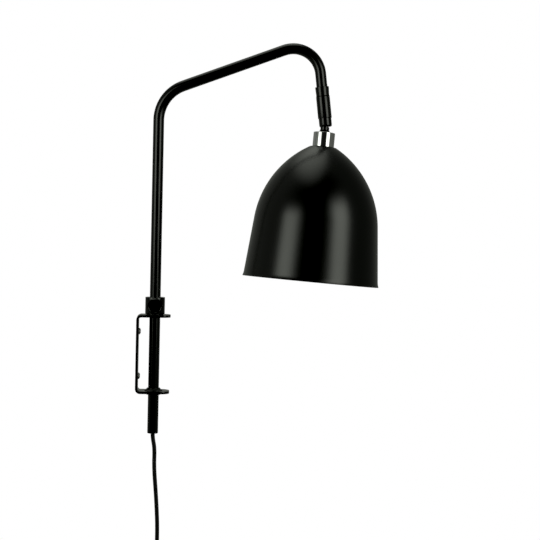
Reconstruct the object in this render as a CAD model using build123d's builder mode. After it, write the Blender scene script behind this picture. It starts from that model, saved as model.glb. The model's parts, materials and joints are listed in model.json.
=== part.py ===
from build123d import *
import os
from math import ceil, cos, dist, pi, radians, sin, sqrt, tan

os.makedirs("parts", exist_ok=True)

# Wall lamp on a bent tube: the tube turns and slides in a wall bracket, a swivel coupling at its tip carries
# a metal bell shade by a ball, and the supply cord runs through the tube. Millimetres, +Z up, origin on the
# wall face of the bracket midway between its two screws, +X out from the wall.

# ---- Clearances ----
running_gap = 0.05  # radial, turned pieces that turn or slide on each other
seat_gap = 0.05  # between faces that bear on each other
thread_gap = 0.05  # radial, screw in its thread
face_gap = 0.15  # between faces that turn past each other
hole_gap = 0.3  # radial, a screw or nipple through a plain hole
cut_past = 1.0  # how far a cut runs past the face it opens
round_step = 0.3  # a rounded edge is drawn as chamfers, and this share of it lies between them

# ---- Wall bracket ----
strip_width = 29.0
strip_thickness = 3.0
bracket_height = 95.0
bracket_outer_bend = 6.0
tab_length = 41.0
tab_corner_radius = 11.0
wall_screw_spacing = 54.0
screw_shank_r = 2.0
screw_neck_r = 2.3  # its smooth part, in the strip's hole
screw_head_r = 4.0
screw_head_height = 2.4
screw_head_rim = 0.85
screw_dome_r = 3.2
screw_dome_height = 1.8
screw_flat_r = 1.8
screw_shank_length = 24.0
screw_point_length = 4.0
screw_slot_width = 1.0
screw_slot_length = 4.8
screw_slot_depth = 0.9

# ---- Bushes ----
bush_wall = 1.6
upper_bush_flange_r = 10.5
upper_bush_flange_height = 0.8
lower_bush_flange_r = 11.0
lower_bush_flange_height = 3.0
lower_bush_edge = 0.5
lower_bush_nut_r = 9.0
lower_bush_nut_height = 1.8

# ---- Arm tube ----
tube_r = 6.5
tube_wall = 1.0
axis_from_wall = 22.0
arm_yaw = -10.0  # from the wall's normal, towards -Y
tube_bottom_z = -95.0
arm_corner_z = 312.4
arm_run = 200.6
arm_slope = 19.9
lower_bend_r = 43.8
upper_bend_r = 33.2
tip_lean = 6.85  # of the down-turned tip from the vertical, outwards
tip_straight = 15.8  # bare tube between the upper bend and the ferrule
grommet_depth = 8.0
grommet_flange = 1.5
grommet_edge = 1.0

# ---- Stop collar and clamp knob ----
collar_r = 11.8
collar_height = 20.2
collar_edge = 0.5
clamp_stud_r = 3.0
clamp_pad_thickness = 1.5
knob_r = 9.5
knob_thickness = 7.0
knob_neck_r = 5.5
knob_neck_length = 3.0
knob_edge = 0.8
knob_dish_r = 7.6
knob_dish_depth = 0.5
stud_depth_in_knob = 5.0

# ---- Swivel coupling, measured along its own axis ----
joint_r = 8.15
joint_edge = 0.5
ferrule_length = 11.4
tube_depth_in_ferrule = 7.0
body_length = 25.7
body_web = 3.4
nipple_r = 4.5
nipple_bore_r = 2.8
nipple_flange_r = 5.7
nipple_flange_height = 1.5
body_bore_r = 6.0
spacer_bore_r = 3.4
spring_height = 1.2
spring_thickness = 0.6
ball_cup_height = 6.0
ball_cup_bore_r = 3.2
ball_cup_above = 1.5  # from its lower end down to the ball's centre
cap_r = 7.5
cap_length = 10.1
cap_edge = 1.1
cap_spigot_r = 6.9
cap_spigot_length = 6.5
cap_mouth_above = 4.7  # from the cap's lower edge up to the ball's centre
cap_lip_top = 2.6  # below the ball's centre, where the seat ends
cap_lip_bottom = 3.05  # below the ball's centre, where the mouth begins
mouth_inner_r = 6.45
mouth_outer_r = 6.8

# ---- Ball stud and head, measured along the head's own axis ----
head_tilt_out = 4.26  # of the head's axis from the vertical: its top leans away from the wall
head_tilt_side = 1.25  # and its lower end comes forward, towards -Y
ball_r = 5.8
stem_r = 3.9
flex_bore_r = 2.7
ball_flare = 1.6  # how much wider the bore is at the ball's top
flex_cut_above = 1.0  # of the inner cord's upper length, from the ball's centre
flex_cut_below = 0.2
neck_r = 5.2
neck_top = 4.9  # below the ball's centre
neck_length = 3.8  # bare, between its nut and its shoulder under the ball
nipple_thread_r = 4.9
nipple_below_cap = 2.0
flex_below_nipple = 1.0
neck_nut_r = 6.3
neck_nut_height = 3.1
neck_nut_edge = 0.4

# ---- Chrome cup and shade ----
cup_r = 12.75
cup_height = 17.0
cup_wall = 1.2
cup_edge = 0.5
shade_base_r = 80.3
shade_wall = 1.0
shade_cone_height = 70.9
shade_cone_angle = 5.4
shade_dome_r = 115.0
shade_crown_r = 15.33  # where the dome meets the flat crown
shade_height = 160.4
shade_crown_round = 6.0
shade_flare = 0.5  # how far the rim turns out beyond the cone
shade_flare_height = 6.0
shade_hem_r = 0.9

# ---- Lamp holder (E27) ----
crown_nut_r = 9.0
crown_nut_height = 4.0
holder_top_r = 11.5
holder_r = 21.0
holder_shoulder = 14.0
holder_cap_height = 25.0
holder_wall = 2.0
holder_crown_wall = 3.0
holder_slope_across = 3.5
holder_slope_rise = 5.5
skirt_r = 19.5
skirt_edge = 1.0
skirt_height = 36.0
skirt_overlap = 5.0
skirt_lip_r = 14.6
skirt_lip = 2.0
base_thickness = 8.0
shell_bore_r = 13.3
shell_wall = 0.5
shell_length = 22.0
shell_collar_r = 14.0  # its wider top, round the centre contact
shell_collar_height = 4.5
contact_width = 6.0
contact_thickness = 0.5
contact_rise = 4.0
side_contact_length = 13.2
rivet_r = 1.5
rivet_offset = 6.5
rivet_head = 1.0
terminal_spacing = 17.0
terminal_r = 1.5
terminal_head_r = 2.8
terminal_head_height = 1.6
terminal_depth = 5.0
core_wire_r = 1.1
core_wire_gap = 0.2  # between the two
core_wire_straight = 3.5
core_wire_bend_r = 1.5

# ---- Cord ----
cord_r = 2.5
cord_exit_inside = 2.0  # the free cord starts this far inside the tube's lower end
cord_side_shift = 7.9  # outwards, from the tube's axis to where the cord hangs straight
arc_share = 0.45  # of the shorter of two runs, that the arc between them takes
sample_step = 1.5  # between the points at which the coil is measured

# ---- Cord switch ----
switch_top_z = -230.0
switch_length = 52.0
switch_width = 23.0
switch_depth = 19.0
switch_wall = 2.0
switch_corner = 9.0
switch_edge = 3.0
rocker_length = 17.0  # of its opening
rocker_width = 9.0
rocker_gap = 0.4
rocker_rise = 2.0  # from its hinge pin's axis out to the case's face
rocker_body = 3.0
rocker_half_throw = 8.0
rocker_pin_r = 1.25
rocker_pin_length = 13.0
rocker_ear_thickness = 2.5
rocker_ear_depth = 3.5
switch_post_r = 3.6
switch_screw_r = 1.4
switch_screw_head_r = 2.6
switch_screw_head_height = 1.4
switch_screw_bite = 5.0
switch_screw_inset = 16.0

# ---- Cord coil ----
coil_start_angle = 40.0  # from the top, where the cord joins the coil and leaves it
coil_drop = 26.0  # from the switch to the corner above the coil
coil_lead_run = 29.0  # from that corner to the coil
coil_outer_r = 34.6
coil_pitch = 6.5
coil_layer_pitch = 5.8
coil_half_turns = (3, 3, 3, 4)  # in each layer, with one climbing half turn between layers
tie_width = 7.0
tie_thickness = 1.6
tie_gap = 0.8

# ---- Mains plug ----
plug_lead_run = 26.0
plug_drop_run = 24.0
cord_seat_depth = 2.0
boot_length = 22.0
boot_top_r = 3.6
boot_bottom_r = 5.2
plug_length = 34.0
plug_width = 35.3
plug_thickness = 13.7
plug_shoulder_width = 18.0
plug_shoulder_drop = 14.0
plug_edge = 2.0
pin_r = 2.0
pin_root_r = 2.6
pin_length = 19.0
pin_spacing = 18.6
pin_root = 6.0
pin_tip_round = 1.2

# ---- Heights up the head's axis from the shade's rim ----
crown_top = shade_height
crown_inside = shade_height - shade_wall
cup_low_z = crown_top + seat_gap
cup_top_z = cup_low_z + cup_height
nut_top_z = cup_top_z + seat_gap + neck_nut_height
neck_top_z = nut_top_z + neck_length
ball_above_rim = neck_top_z + neck_top

# ---- Where the axes lie ----
yaw = radians(arm_yaw)
outward = Vector(cos(yaw), sin(yaw), 0)
arm_plane = Plane(origin=(axis_from_wall, 0, 0), x_dir=outward, z_dir=(sin(yaw), -cos(yaw), 0))
arm_rise = radians(arm_slope)
lean = radians(tip_lean)
upper_corner = (arm_run * cos(arm_rise), arm_corner_z + arm_run * sin(arm_rise))
upper_turn = arm_slope + 90 - tip_lean
bend_to_corner = upper_bend_r * tan(radians(upper_turn) / 2)
ferrule_start = bend_to_corner + tip_straight
seam = ferrule_start + ferrule_length
tube_tip = ferrule_start + tube_depth_in_ferrule
cap_start = seam + face_gap + body_length
cap_end = cap_start + cap_length
ball_along_tip = cap_end - cap_mouth_above


def on_tip(distance):
    """Point on the axis of the tube's tip, this far below the arm's upper corner."""
    return arm_plane.from_local_coords(
        (upper_corner[0] + distance * sin(lean), upper_corner[1] - distance * cos(lean), 0)
    )


tip_down = outward * sin(lean) - Vector(0, 0, cos(lean))
tip_out = outward * cos(lean) + Vector(0, 0, sin(lean))
joint_place = Plane(origin=on_tip(seam), x_dir=tip_out, z_dir=tip_down)
ball_centre = on_tip(ball_along_tip)

head_up = Vector(tan(radians(head_tilt_out)), tan(radians(head_tilt_side)), 1).normalized()
tilt_axis = tip_down.cross(head_up).normalized()
head_out = tilt_axis.cross(head_up).normalized()
head_place = Plane(origin=ball_centre - head_up * ball_above_rim, x_dir=head_out, z_dir=head_up)


def section_of(place):
    """Plane through a place's own Z axis: its X runs outwards and its Y along that axis."""
    return Plane(origin=place.origin, x_dir=place.x_dir, z_dir=-place.y_dir)


def turn(place, *outline, mode=Mode.ADD):
    """Turn a closed outline of (radius, height) points about a place's Z axis, in the part being built."""
    with BuildSketch(section_of(place)) as profile:
        with BuildLine():
            Polyline(*outline, close=True)
        make_face()
    revolve(profile.sketch, axis=Axis(place.origin, place.z_dir), mode=mode)


def tube_ring(outer, inner, low, high, edge=0.0):
    """Outline of a plain ring, with its outer edges chamfered where an edge is given."""
    if edge == 0.0:
        return (inner, low), (outer, low), (outer, high), (inner, high)
    return (
        (inner, low),
        (outer - edge, low),
        (outer, low + edge),
        (outer, high - edge),
        (outer - edge, high),
        (inner, high),
    )


def save(builder, label):
    """Label a finished piece and write its STEP file."""
    builder.part.label = label
    export_step(builder.part, f"parts/{label}.step")


# ---- Wall bracket, screws and bushes ----
half_height = bracket_height / 2
tube_place = Plane(origin=(axis_from_wall, 0, 0))
bush_r = tube_r + running_gap + bush_wall
screw_places = [(0, wall_screw_spacing / 2), (0, -wall_screw_spacing / 2)]

with BuildPart() as wall_bracket:
    with BuildSketch(Plane.XZ) as strip_profile:
        with Locations((tab_length / 2, 0)):
            Rectangle(tab_length, bracket_height)
        with Locations((tab_length / 2 + strip_thickness, 0)):
            Rectangle(tab_length, bracket_height - 2 * strip_thickness, mode=Mode.SUBTRACT)
        corners = strip_profile.vertices().group_by(Axis.X)[0]
        fillet(corners, bracket_outer_bend)
        inner_corners = strip_profile.vertices().filter_by(
            lambda v: abs(v.X - strip_thickness) < 0.01 and abs(v.Z) < half_height
        )
        fillet(inner_corners, bracket_outer_bend - strip_thickness)
    extrude(amount=strip_width / 2, both=True)
    tab_edges = wall_bracket.edges().filter_by(Axis.Z).group_by(Axis.X)[-1]
    fillet(tab_edges, tab_corner_radius)
    with BuildSketch(tube_place.offset(half_height)):
        Circle(bush_r + seat_gap)
    extrude(amount=-bracket_height, mode=Mode.SUBTRACT)
    with BuildSketch(Plane.YZ):
        with Locations(*screw_places):
            Circle(screw_neck_r + hole_gap)
    extrude(amount=strip_thickness, mode=Mode.SUBTRACT)
save(wall_bracket, "wall_bracket")

with BuildPart() as wall_screws:
    for y, z in screw_places:
        screw_place = Plane(origin=(strip_thickness + seat_gap, y, z), x_dir=(0, 1, 0), z_dir=(1, 0, 0))
        neck_end = -(strip_thickness + seat_gap)
        shank_end = neck_end - screw_shank_length
        turn(
            screw_place,
            (0, shank_end),
            (screw_shank_r, shank_end + screw_point_length),
            (screw_shank_r, neck_end),
            (screw_neck_r, neck_end),
            (screw_neck_r, 0),
            (screw_head_r, 0),
            (screw_head_r, screw_head_rim),
            (screw_dome_r, screw_dome_height),
            (screw_flat_r, screw_head_height),
            (0, screw_head_height),
        )
        with BuildSketch(screw_place.offset(screw_head_height)):
            Rectangle(screw_slot_length, screw_slot_width)
            Rectangle(screw_slot_width, screw_slot_length)
        extrude(amount=-screw_slot_depth, mode=Mode.SUBTRACT)
save(wall_screws, "wall_screws")

with BuildPart() as upper_bush:
    bush_bore = tube_r + running_gap
    top = half_height
    turn(
        tube_place,
        (bush_bore, top - strip_thickness),
        (bush_r, top - strip_thickness),
        (bush_r, top),
        (upper_bush_flange_r, top),
        (upper_bush_flange_r, top + upper_bush_flange_height),
        (bush_bore, top + upper_bush_flange_height),
    )
save(upper_bush, "upper_bush")

with BuildPart() as lower_bush:
    low_tab_top = strip_thickness - half_height
    nut_low = -half_height - lower_bush_nut_height
    turn(
        tube_place,
        (bush_bore, nut_low),
        (lower_bush_nut_r - lower_bush_edge, nut_low),
        (lower_bush_nut_r, nut_low + lower_bush_edge),
        (lower_bush_nut_r, -half_height),
        (bush_r, -half_height),
        (bush_r, low_tab_top),
        (lower_bush_flange_r, low_tab_top),
        (lower_bush_flange_r, low_tab_top + lower_bush_edge),
        (bush_r, low_tab_top + lower_bush_flange_height),
        (bush_bore, low_tab_top + lower_bush_flange_height),
    )
save(lower_bush, "lower_bush")

# ---- Stop collar, its clamp screw and knob ----
collar_low = half_height + upper_bush_flange_height + seat_gap
collar_place = Plane(origin=(axis_from_wall, 0, collar_low))
knob_z = collar_low + collar_height / 2
knob_place = Plane(origin=(axis_from_wall, 0, knob_z), x_dir=(1, 0, 0), z_dir=(0, -1, 0))
pad_inner = tube_r + running_gap
pad_outer = pad_inner + clamp_pad_thickness
knob_low = collar_r + face_gap
knob_face = knob_low + knob_neck_length + knob_thickness

with BuildPart() as stop_collar:
    turn(collar_place, *tube_ring(collar_r, tube_r + running_gap, 0, collar_height, collar_edge))
    with BuildSketch(knob_place):
        Circle(clamp_stud_r + thread_gap)
    extrude(amount=collar_r + cut_past, mode=Mode.SUBTRACT)
save(stop_collar, "stop_collar")

with BuildPart() as clamp_pad:
    turn(knob_place, *tube_ring(clamp_stud_r, 0, pad_inner - cut_past, pad_outer))
    turn(tube_place, *tube_ring(pad_inner, 0, 0, half_height + 2 * collar_height), mode=Mode.SUBTRACT)
save(clamp_pad, "clamp_pad")

with BuildPart() as clamp_stud:
    stud_top = knob_low + knob_neck_length + stud_depth_in_knob
    turn(knob_place, *tube_ring(clamp_stud_r, 0, pad_outer + seat_gap, stud_top))
save(clamp_stud, "clamp_stud")

with BuildPart() as clamp_knob:
    stud_seat_r = clamp_stud_r + seat_gap
    knob_shoulder = knob_low + knob_neck_length
    turn(
        knob_place,
        (stud_seat_r, knob_low),
        (knob_neck_r, knob_low),
        (knob_neck_r, knob_shoulder),
        (knob_r - knob_edge, knob_shoulder),
        (knob_r, knob_shoulder + knob_edge),
        (knob_r, knob_face - knob_edge),
        (knob_r - knob_edge, knob_face),
        (knob_dish_r, knob_face),
        (knob_dish_r - knob_dish_depth, knob_face - knob_dish_depth),
        (0, knob_face - knob_dish_depth),
        (0, stud_top + seat_gap),
        (stud_seat_r, stud_top + seat_gap),
    )
save(clamp_knob, "clamp_knob")

# ---- Arm tube, its end piece and the cord inside it ----
bore_r = tube_r - tube_wall


def arm_line(start_z, end_along_tip):
    """Centre line of the bent arm, in the arm's plane, from a height on its post to a point on its tip."""
    end = (upper_corner[0] + end_along_tip * sin(lean), upper_corner[1] - end_along_tip * cos(lean))
    corners = [(0, start_z), (0, arm_corner_z), upper_corner, end]
    return FilletPolyline(*corners, radius=[lower_bend_r, upper_bend_r])


with BuildPart() as arm_tube:
    with BuildLine(arm_plane) as tube_line:
        arm_line(tube_bottom_z, tube_tip)
    with BuildSketch(Plane(origin=tube_line.line @ 0, z_dir=tube_line.line % 0)):
        Circle(tube_r)
        Circle(bore_r, mode=Mode.SUBTRACT)
    sweep(path=tube_line.line)
save(arm_tube, "arm_tube")

cord_start_z = tube_bottom_z + cord_exit_inside
flex_end = ball_along_tip - flex_cut_above

with BuildPart() as inner_flex_arm:
    with BuildLine(arm_plane) as flex_line:
        arm_line(cord_start_z, flex_end)
    with BuildSketch(Plane(origin=flex_line.line @ 0, z_dir=flex_line.line % 0)):
        Circle(cord_r)
    sweep(path=flex_line.line)
save(inner_flex_arm, "inner_flex_arm")

with BuildPart() as tube_end_grommet:
    grommet_place = Plane(origin=(axis_from_wall, 0, tube_bottom_z))
    cord_hole = cord_r + seat_gap
    turn(
        grommet_place,
        (cord_hole, -grommet_flange),
        (tube_r - grommet_edge, -grommet_flange),
        (tube_r - round_step * grommet_edge, -grommet_flange + round_step * grommet_edge),
        (tube_r, -grommet_flange + grommet_edge),
        (tube_r, -seat_gap),
        (bore_r - seat_gap, -seat_gap),
        (bore_r - seat_gap, grommet_depth),
        (cord_hole, grommet_depth),
    )
save(tube_end_grommet, "tube_end_grommet")

# ---- Swivel coupling: heights run down the tip from the seam ----
nipple_head_low = face_gap + body_web + face_gap
nipple_head_high = nipple_head_low + nipple_flange_height
body_end = face_gap + body_length
ball_low = ball_along_tip - seam
cap_mouth = ball_low + cap_mouth_above
spring_low = ball_low - ball_cup_height - spring_height
nipple_top = -(ferrule_length - tube_depth_in_ferrule) + seat_gap
seat_r = ball_r + running_gap
cap_bore_r = ball_r + 2 * running_gap

with BuildPart() as joint_ferrule:
    turn(
        joint_place,
        (nipple_r + thread_gap, 0),
        (joint_r - joint_edge, 0),
        (joint_r, -joint_edge),
        (joint_r, joint_edge - ferrule_length),
        (joint_r - joint_edge, -ferrule_length),
        (tube_r + seat_gap, -ferrule_length),
        (tube_r + seat_gap, tube_depth_in_ferrule - ferrule_length + seat_gap),
        (nipple_r + thread_gap, tube_depth_in_ferrule - ferrule_length + seat_gap),
    )
save(joint_ferrule, "joint_ferrule")

with BuildPart() as pan_nipple:
    turn(
        joint_place,
        (nipple_bore_r, nipple_top + seat_gap),
        (nipple_r, nipple_top + seat_gap),
        (nipple_r, nipple_head_low),
        (nipple_flange_r, nipple_head_low),
        (nipple_flange_r, nipple_head_high),
        (nipple_bore_r, nipple_head_high),
    )
save(pan_nipple, "pan_nipple")

with BuildPart() as joint_body:
    spigot_start = body_end - cap_spigot_length
    turn(
        joint_place,
        (nipple_r + running_gap, face_gap),
        (joint_r - joint_edge, face_gap),
        (joint_r, face_gap + joint_edge),
        (joint_r, body_end),
        (cap_spigot_r + thread_gap, body_end),
        (cap_spigot_r + thread_gap, spigot_start - seat_gap),
        (body_bore_r, spigot_start - seat_gap),
        (body_bore_r, face_gap + body_web),
        (nipple_r + running_gap, face_gap + body_web),
    )
save(joint_body, "joint_body")

with BuildPart() as spacer_sleeve:
    spacer_start = nipple_head_high + face_gap
    turn(joint_place, *tube_ring(cap_bore_r - seat_gap, spacer_bore_r, spacer_start, spring_low - seat_gap))
save(spacer_sleeve, "spacer_sleeve")

with BuildPart() as disc_spring:
    spring_r = cap_bore_r - hole_gap
    turn(
        joint_place,
        (spacer_bore_r, spring_low),
        (spring_r, spring_low + spring_height - spring_thickness),
        (spring_r, spring_low + spring_height),
        (spacer_bore_r, spring_low + spring_thickness),
    )
save(disc_spring, "disc_spring")

with BuildPart() as ball_cup:
    cup_low = ball_low - ball_cup_height + seat_gap
    cup_end = ball_low - ball_cup_above
    turn(joint_place, *tube_ring(cap_bore_r - seat_gap, ball_cup_bore_r, cup_low, cup_end))
    with Locations(ball_centre):
        Sphere(seat_r, mode=Mode.SUBTRACT)
save(ball_cup, "ball_cup")

with BuildPart() as joint_cap:
    turn(
        joint_place,
        (cap_bore_r, spigot_start),
        (cap_spigot_r, spigot_start),
        (cap_spigot_r, body_end + seat_gap),
        (cap_r, body_end + seat_gap),
        (cap_r, cap_mouth - cap_edge),
        (cap_r - round_step * cap_edge, cap_mouth - round_step * cap_edge),
        (cap_r - 2 * round_step * cap_edge, cap_mouth),
        (mouth_outer_r, cap_mouth),
        (mouth_inner_r, ball_low + cap_lip_bottom),
        (sqrt(seat_r**2 - cap_lip_top**2), ball_low + cap_lip_bottom),
        (sqrt(seat_r**2 - cap_lip_top**2), ball_low),
        (cap_bore_r, ball_low),
    )
    with Locations(ball_centre):
        Sphere(seat_r, mode=Mode.SUBTRACT)
save(joint_cap, "joint_cap")

# ---- Head: heights run up the shade's axis from its rim ----
crown_nut_top = crown_inside - seat_gap
crown_nut_low = crown_nut_top - crown_nut_height
holder_top = crown_nut_low - seat_gap
nipple_low_z = holder_top - holder_wall - nipple_below_cap
flex_head_top = ball_above_rim - flex_cut_below
bore_top_z = ball_above_rim + ball_r

with BuildPart() as ball_stud:
    with Locations(ball_centre):
        Sphere(ball_r)
    turn(
        head_place,
        (0, nipple_low_z),
        (nipple_thread_r, nipple_low_z),
        (nipple_thread_r, nut_top_z - neck_nut_height),
        (neck_r, nut_top_z),
        (neck_r, neck_top_z),
        (stem_r, neck_top_z),
        (stem_r, ball_above_rim),
        (0, ball_above_rim),
    )
    turn(
        head_place,
        (0, nipple_low_z - cut_past),
        (flex_bore_r, nipple_low_z - cut_past),
        (flex_bore_r, ball_above_rim),
        (flex_bore_r + ball_flare, bore_top_z),
        (0, bore_top_z),
        mode=Mode.SUBTRACT,
    )
save(ball_stud, "ball_stud")

with BuildPart() as neck_nut:
    nut_low_z = cup_top_z + seat_gap
    turn(
        head_place,
        (nipple_thread_r + thread_gap, nut_low_z),
        (neck_nut_r, nut_low_z),
        (neck_nut_r, nut_low_z + round_step * neck_nut_height),
        (neck_r + neck_nut_edge, nut_top_z),
        (neck_r + thread_gap, nut_top_z),
    )
save(neck_nut, "neck_nut")

with BuildPart() as chrome_cup:
    plain_hole_r = nipple_thread_r + hole_gap
    turn(
        head_place,
        (cup_r - cup_wall, cup_low_z),
        (cup_r, cup_low_z),
        (cup_r, cup_top_z - cup_edge),
        (cup_r - cup_edge, cup_top_z),
        (plain_hole_r, cup_top_z),
        (plain_hole_r, cup_top_z - cup_wall),
        (cup_r - cup_wall, cup_top_z - cup_wall),
    )
save(chrome_cup, "chrome_cup")

cone = radians(shade_cone_angle)
cone_top = Vector(shade_base_r - shade_cone_height * tan(cone), shade_cone_height)
crown_edge = Vector(shade_crown_r, crown_top)
dome_chord = crown_edge - cone_top
dome_inward = dome_chord.rotate(Axis.Z, 90).normalized()
dome_sink = sqrt(shade_dome_r**2 - (dome_chord.length / 2) ** 2)
dome_centre = (cone_top + crown_edge) / 2 + dome_inward * dome_sink

with BuildPart() as shade:
    inner_dome_r = shade_dome_r - shade_wall
    inner_start = dome_centre + (cone_top - dome_centre).normalized() * inner_dome_r
    inner_end_r = dome_centre.X + sqrt(inner_dome_r**2 - (crown_inside - dome_centre.Y) ** 2)
    inner_end = Vector(inner_end_r, crown_inside)
    wall_across = shade_wall / cos(cone)
    flare_top = Vector(shade_base_r - shade_flare_height * tan(cone), shade_flare_height)
    rim = Vector(shade_base_r + shade_flare, shade_hem_r)
    across = Vector(wall_across, 0)
    with BuildSketch(section_of(head_place)) as shade_profile:
        with BuildLine():
            Polyline(rim, flare_top, cone_top)
            ThreePointArc(cone_top, dome_centre - dome_inward * shade_dome_r, crown_edge)
            Polyline(crown_edge, (plain_hole_r, crown_top), (plain_hole_r, crown_inside), inner_end)
            ThreePointArc(inner_end, dome_centre - dome_inward * inner_dome_r, inner_start)
            Polyline(inner_start, flare_top - across, rim - across, rim)
        make_face()
        fillet(shade_profile.vertices().sort_by_distance(crown_edge)[0], shade_crown_round)
        fillet(shade_profile.vertices().sort_by_distance(inner_end)[0], shade_crown_round - shade_wall)
        with Locations(rim - across / 2):
            Circle(shade_hem_r)
    revolve(axis=Axis(head_place.origin, head_up))
save(shade, "shade")

with BuildPart() as crown_nut:
    with BuildSketch(head_place.offset(crown_nut_low)):
        RegularPolygon(crown_nut_r, 6)
        Circle(nipple_thread_r + thread_gap, mode=Mode.SUBTRACT)
    extrude(amount=crown_nut_height)
save(crown_nut, "crown_nut")

# Lamp holder: a screwed cap and a skirt that close on the contact base and the screw shell
holder_shoulder_z = holder_top - holder_shoulder
holder_cap_low = holder_top - holder_cap_height
skirt_top = holder_cap_low + skirt_overlap
skirt_low = skirt_top - skirt_height
base_low = skirt_top - base_thickness
shell_top = base_low - seat_gap
shell_low = shell_top - shell_length

with BuildPart() as holder_cap:
    turn(
        head_place,
        (nipple_thread_r + thread_gap, holder_top),
        (holder_top_r, holder_top),
        (holder_r - holder_slope_across, holder_shoulder_z + holder_slope_rise),
        (holder_r, holder_shoulder_z),
        (holder_r, holder_cap_low),
        (skirt_r + seat_gap, holder_cap_low),
        (skirt_r + seat_gap, skirt_top + seat_gap),
        (skirt_r - holder_wall, skirt_top + seat_gap),
        (skirt_r - holder_wall, holder_shoulder_z),
        (holder_top_r, holder_top - holder_crown_wall),
        (nipple_thread_r + thread_gap, holder_top - holder_crown_wall),
    )
save(holder_cap, "holder_cap")

with BuildPart() as holder_skirt:
    skirt_bore_r = skirt_r - holder_wall
    turn(
        head_place,
        (skirt_bore_r, skirt_top),
        (skirt_r, skirt_top),
        (skirt_r, skirt_low + skirt_edge),
        (skirt_r - skirt_edge, skirt_low),
        (skirt_lip_r, skirt_low),
        (skirt_lip_r, skirt_low + skirt_lip),
        (skirt_bore_r, skirt_low + skirt_lip),
    )
save(holder_skirt, "holder_skirt")

with BuildPart() as contact_base:
    base_r = skirt_bore_r - seat_gap
    turn(head_place, *tube_ring(base_r, 0, base_low, skirt_top))
    with BuildSketch(head_place.offset(skirt_top)):
        with Locations((-terminal_spacing / 2, 0), (terminal_spacing / 2, 0)):
            Circle(terminal_r + thread_gap)
    extrude(amount=-terminal_depth - seat_gap, mode=Mode.SUBTRACT)
    with BuildSketch(head_place.offset(base_low)):
        with Locations((0, -rivet_offset)):
            Circle(rivet_r + seat_gap)
    extrude(amount=base_thickness, mode=Mode.SUBTRACT)
save(contact_base, "contact_base")

with BuildPart() as thread_shell:
    step = shell_top - shell_collar_height
    turn(
        head_place,
        (shell_bore_r, shell_low),
        (shell_bore_r + shell_wall, shell_low),
        (shell_bore_r + shell_wall, step - shell_wall),
        (shell_collar_r + shell_wall, step - shell_wall),
        (shell_collar_r + shell_wall, shell_top),
        (shell_collar_r, shell_top),
        (shell_collar_r, step),
        (shell_bore_r, step),
    )
save(thread_shell, "thread_shell")

# The centre contact is a tongue, riveted beside the middle, that springs down to meet the lamp's tip
contact_place = Plane(origin=head_place.origin, x_dir=head_place.y_dir, z_dir=head_place.x_dir)

with BuildPart() as centre_contact:
    rivet_at = Plane(
        origin=head_place.from_local_coords((0, -rivet_offset, shell_top)),
        x_dir=head_place.x_dir,
        z_dir=head_up,
    )
    turn(rivet_at, *tube_ring(rivet_r, 0, -contact_thickness, skirt_top - shell_top + rivet_head))
    with BuildSketch(contact_place):
        with BuildLine():
            Polyline(
                (-rivet_offset - contact_width / 2, shell_top - contact_thickness),
                (contact_width / 2 - rivet_offset, shell_top - contact_thickness),
                (contact_width / 2, shell_top - contact_rise),
                (contact_width / 2, shell_top - contact_rise + contact_thickness),
                (contact_width / 2 - rivet_offset, shell_top),
                (-rivet_offset - contact_width / 2, shell_top),
                close=True,
            )
        make_face()
    extrude(amount=contact_width / 2, both=True)
save(centre_contact, "centre_contact")

with BuildPart() as side_contact:
    strip_start = shell_collar_r + shell_wall + seat_gap
    with BuildSketch(contact_place):
        with Locations((strip_start, shell_top)):
            Rectangle(contact_thickness, side_contact_length, align=(Align.MIN, Align.MAX))
    extrude(amount=contact_width / 2, both=True)
save(side_contact, "side_contact")

with BuildPart() as terminal_screws:
    for side in (-1, 1):
        terminal_place = Plane(
            origin=head_place.from_local_coords((side * terminal_spacing / 2, 0, skirt_top)),
            x_dir=head_place.x_dir,
            z_dir=head_up,
        )
        turn(
            terminal_place,
            (0, -terminal_depth),
            (terminal_r, -terminal_depth),
            (terminal_r, seat_gap),
            (terminal_head_r, seat_gap),
            (terminal_head_r, terminal_head_height),
            (0, terminal_head_height),
        )
save(terminal_screws, "terminal_screws")

with BuildPart() as inner_flex_head:
    flex_head_low = nipple_low_z - flex_below_nipple
    turn(head_place, *tube_ring(cord_r, 0, flex_head_low, flex_head_top))
save(inner_flex_head, "inner_flex_head")

with BuildPart() as core_wires:
    wire_start_x = core_wire_r + core_wire_gap / 2
    wire_end_z = skirt_top + terminal_head_height
    for side in (-1, 1):
        wire_points = [
            (side * wire_start_x, flex_head_low - seat_gap),
            (side * wire_start_x, flex_head_low - core_wire_straight),
            (side * terminal_spacing / 2, wire_end_z + core_wire_straight),
            (side * terminal_spacing / 2, wire_end_z + seat_gap),
        ]
        with BuildLine(section_of(head_place)) as wire_line:
            FilletPolyline(*wire_points, radius=core_wire_bend_r)
        with BuildSketch(Plane(origin=wire_line.line @ 0, z_dir=wire_line.line % 0)) as wire_section:
            Circle(core_wire_r)
        sweep(wire_section.sketch, path=wire_line.line)
save(core_wires, "core_wires")

# ---- Free cord: straight runs and tangent arcs, each arc as large as its two runs allow ----
hang_x = axis_from_wall + cord_side_shift
switch_bottom_z = switch_top_z - switch_length


def corner_radii(points):
    """Radius at each inner point, so that the arc takes its share of the shorter of its two runs."""
    radii = []
    for before, here, after in zip(points, points[1:], points[2:]):
        first = Vector(here) - Vector(before)
        second = Vector(after) - Vector(here)
        half_turn = radians(first.get_angle(second)) / 2
        radii.append(arc_share * min(first.length, second.length) / tan(half_turn))
    return radii


def free_cord(points):
    """Round cord along a route, in the part being built. Returns its length and prints its radii."""
    radii = corner_radii(points)
    with BuildLine() as route:
        FilletPolyline(*points, radius=radii)
    path = route.wire()
    with BuildSketch(Plane(origin=path @ 0, z_dir=path % 0)) as section:
        Circle(cord_r)
    sweep(section.sketch, path=path)
    print("cord radii", [round(r, 1) for r in radii])
    return path.length


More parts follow.
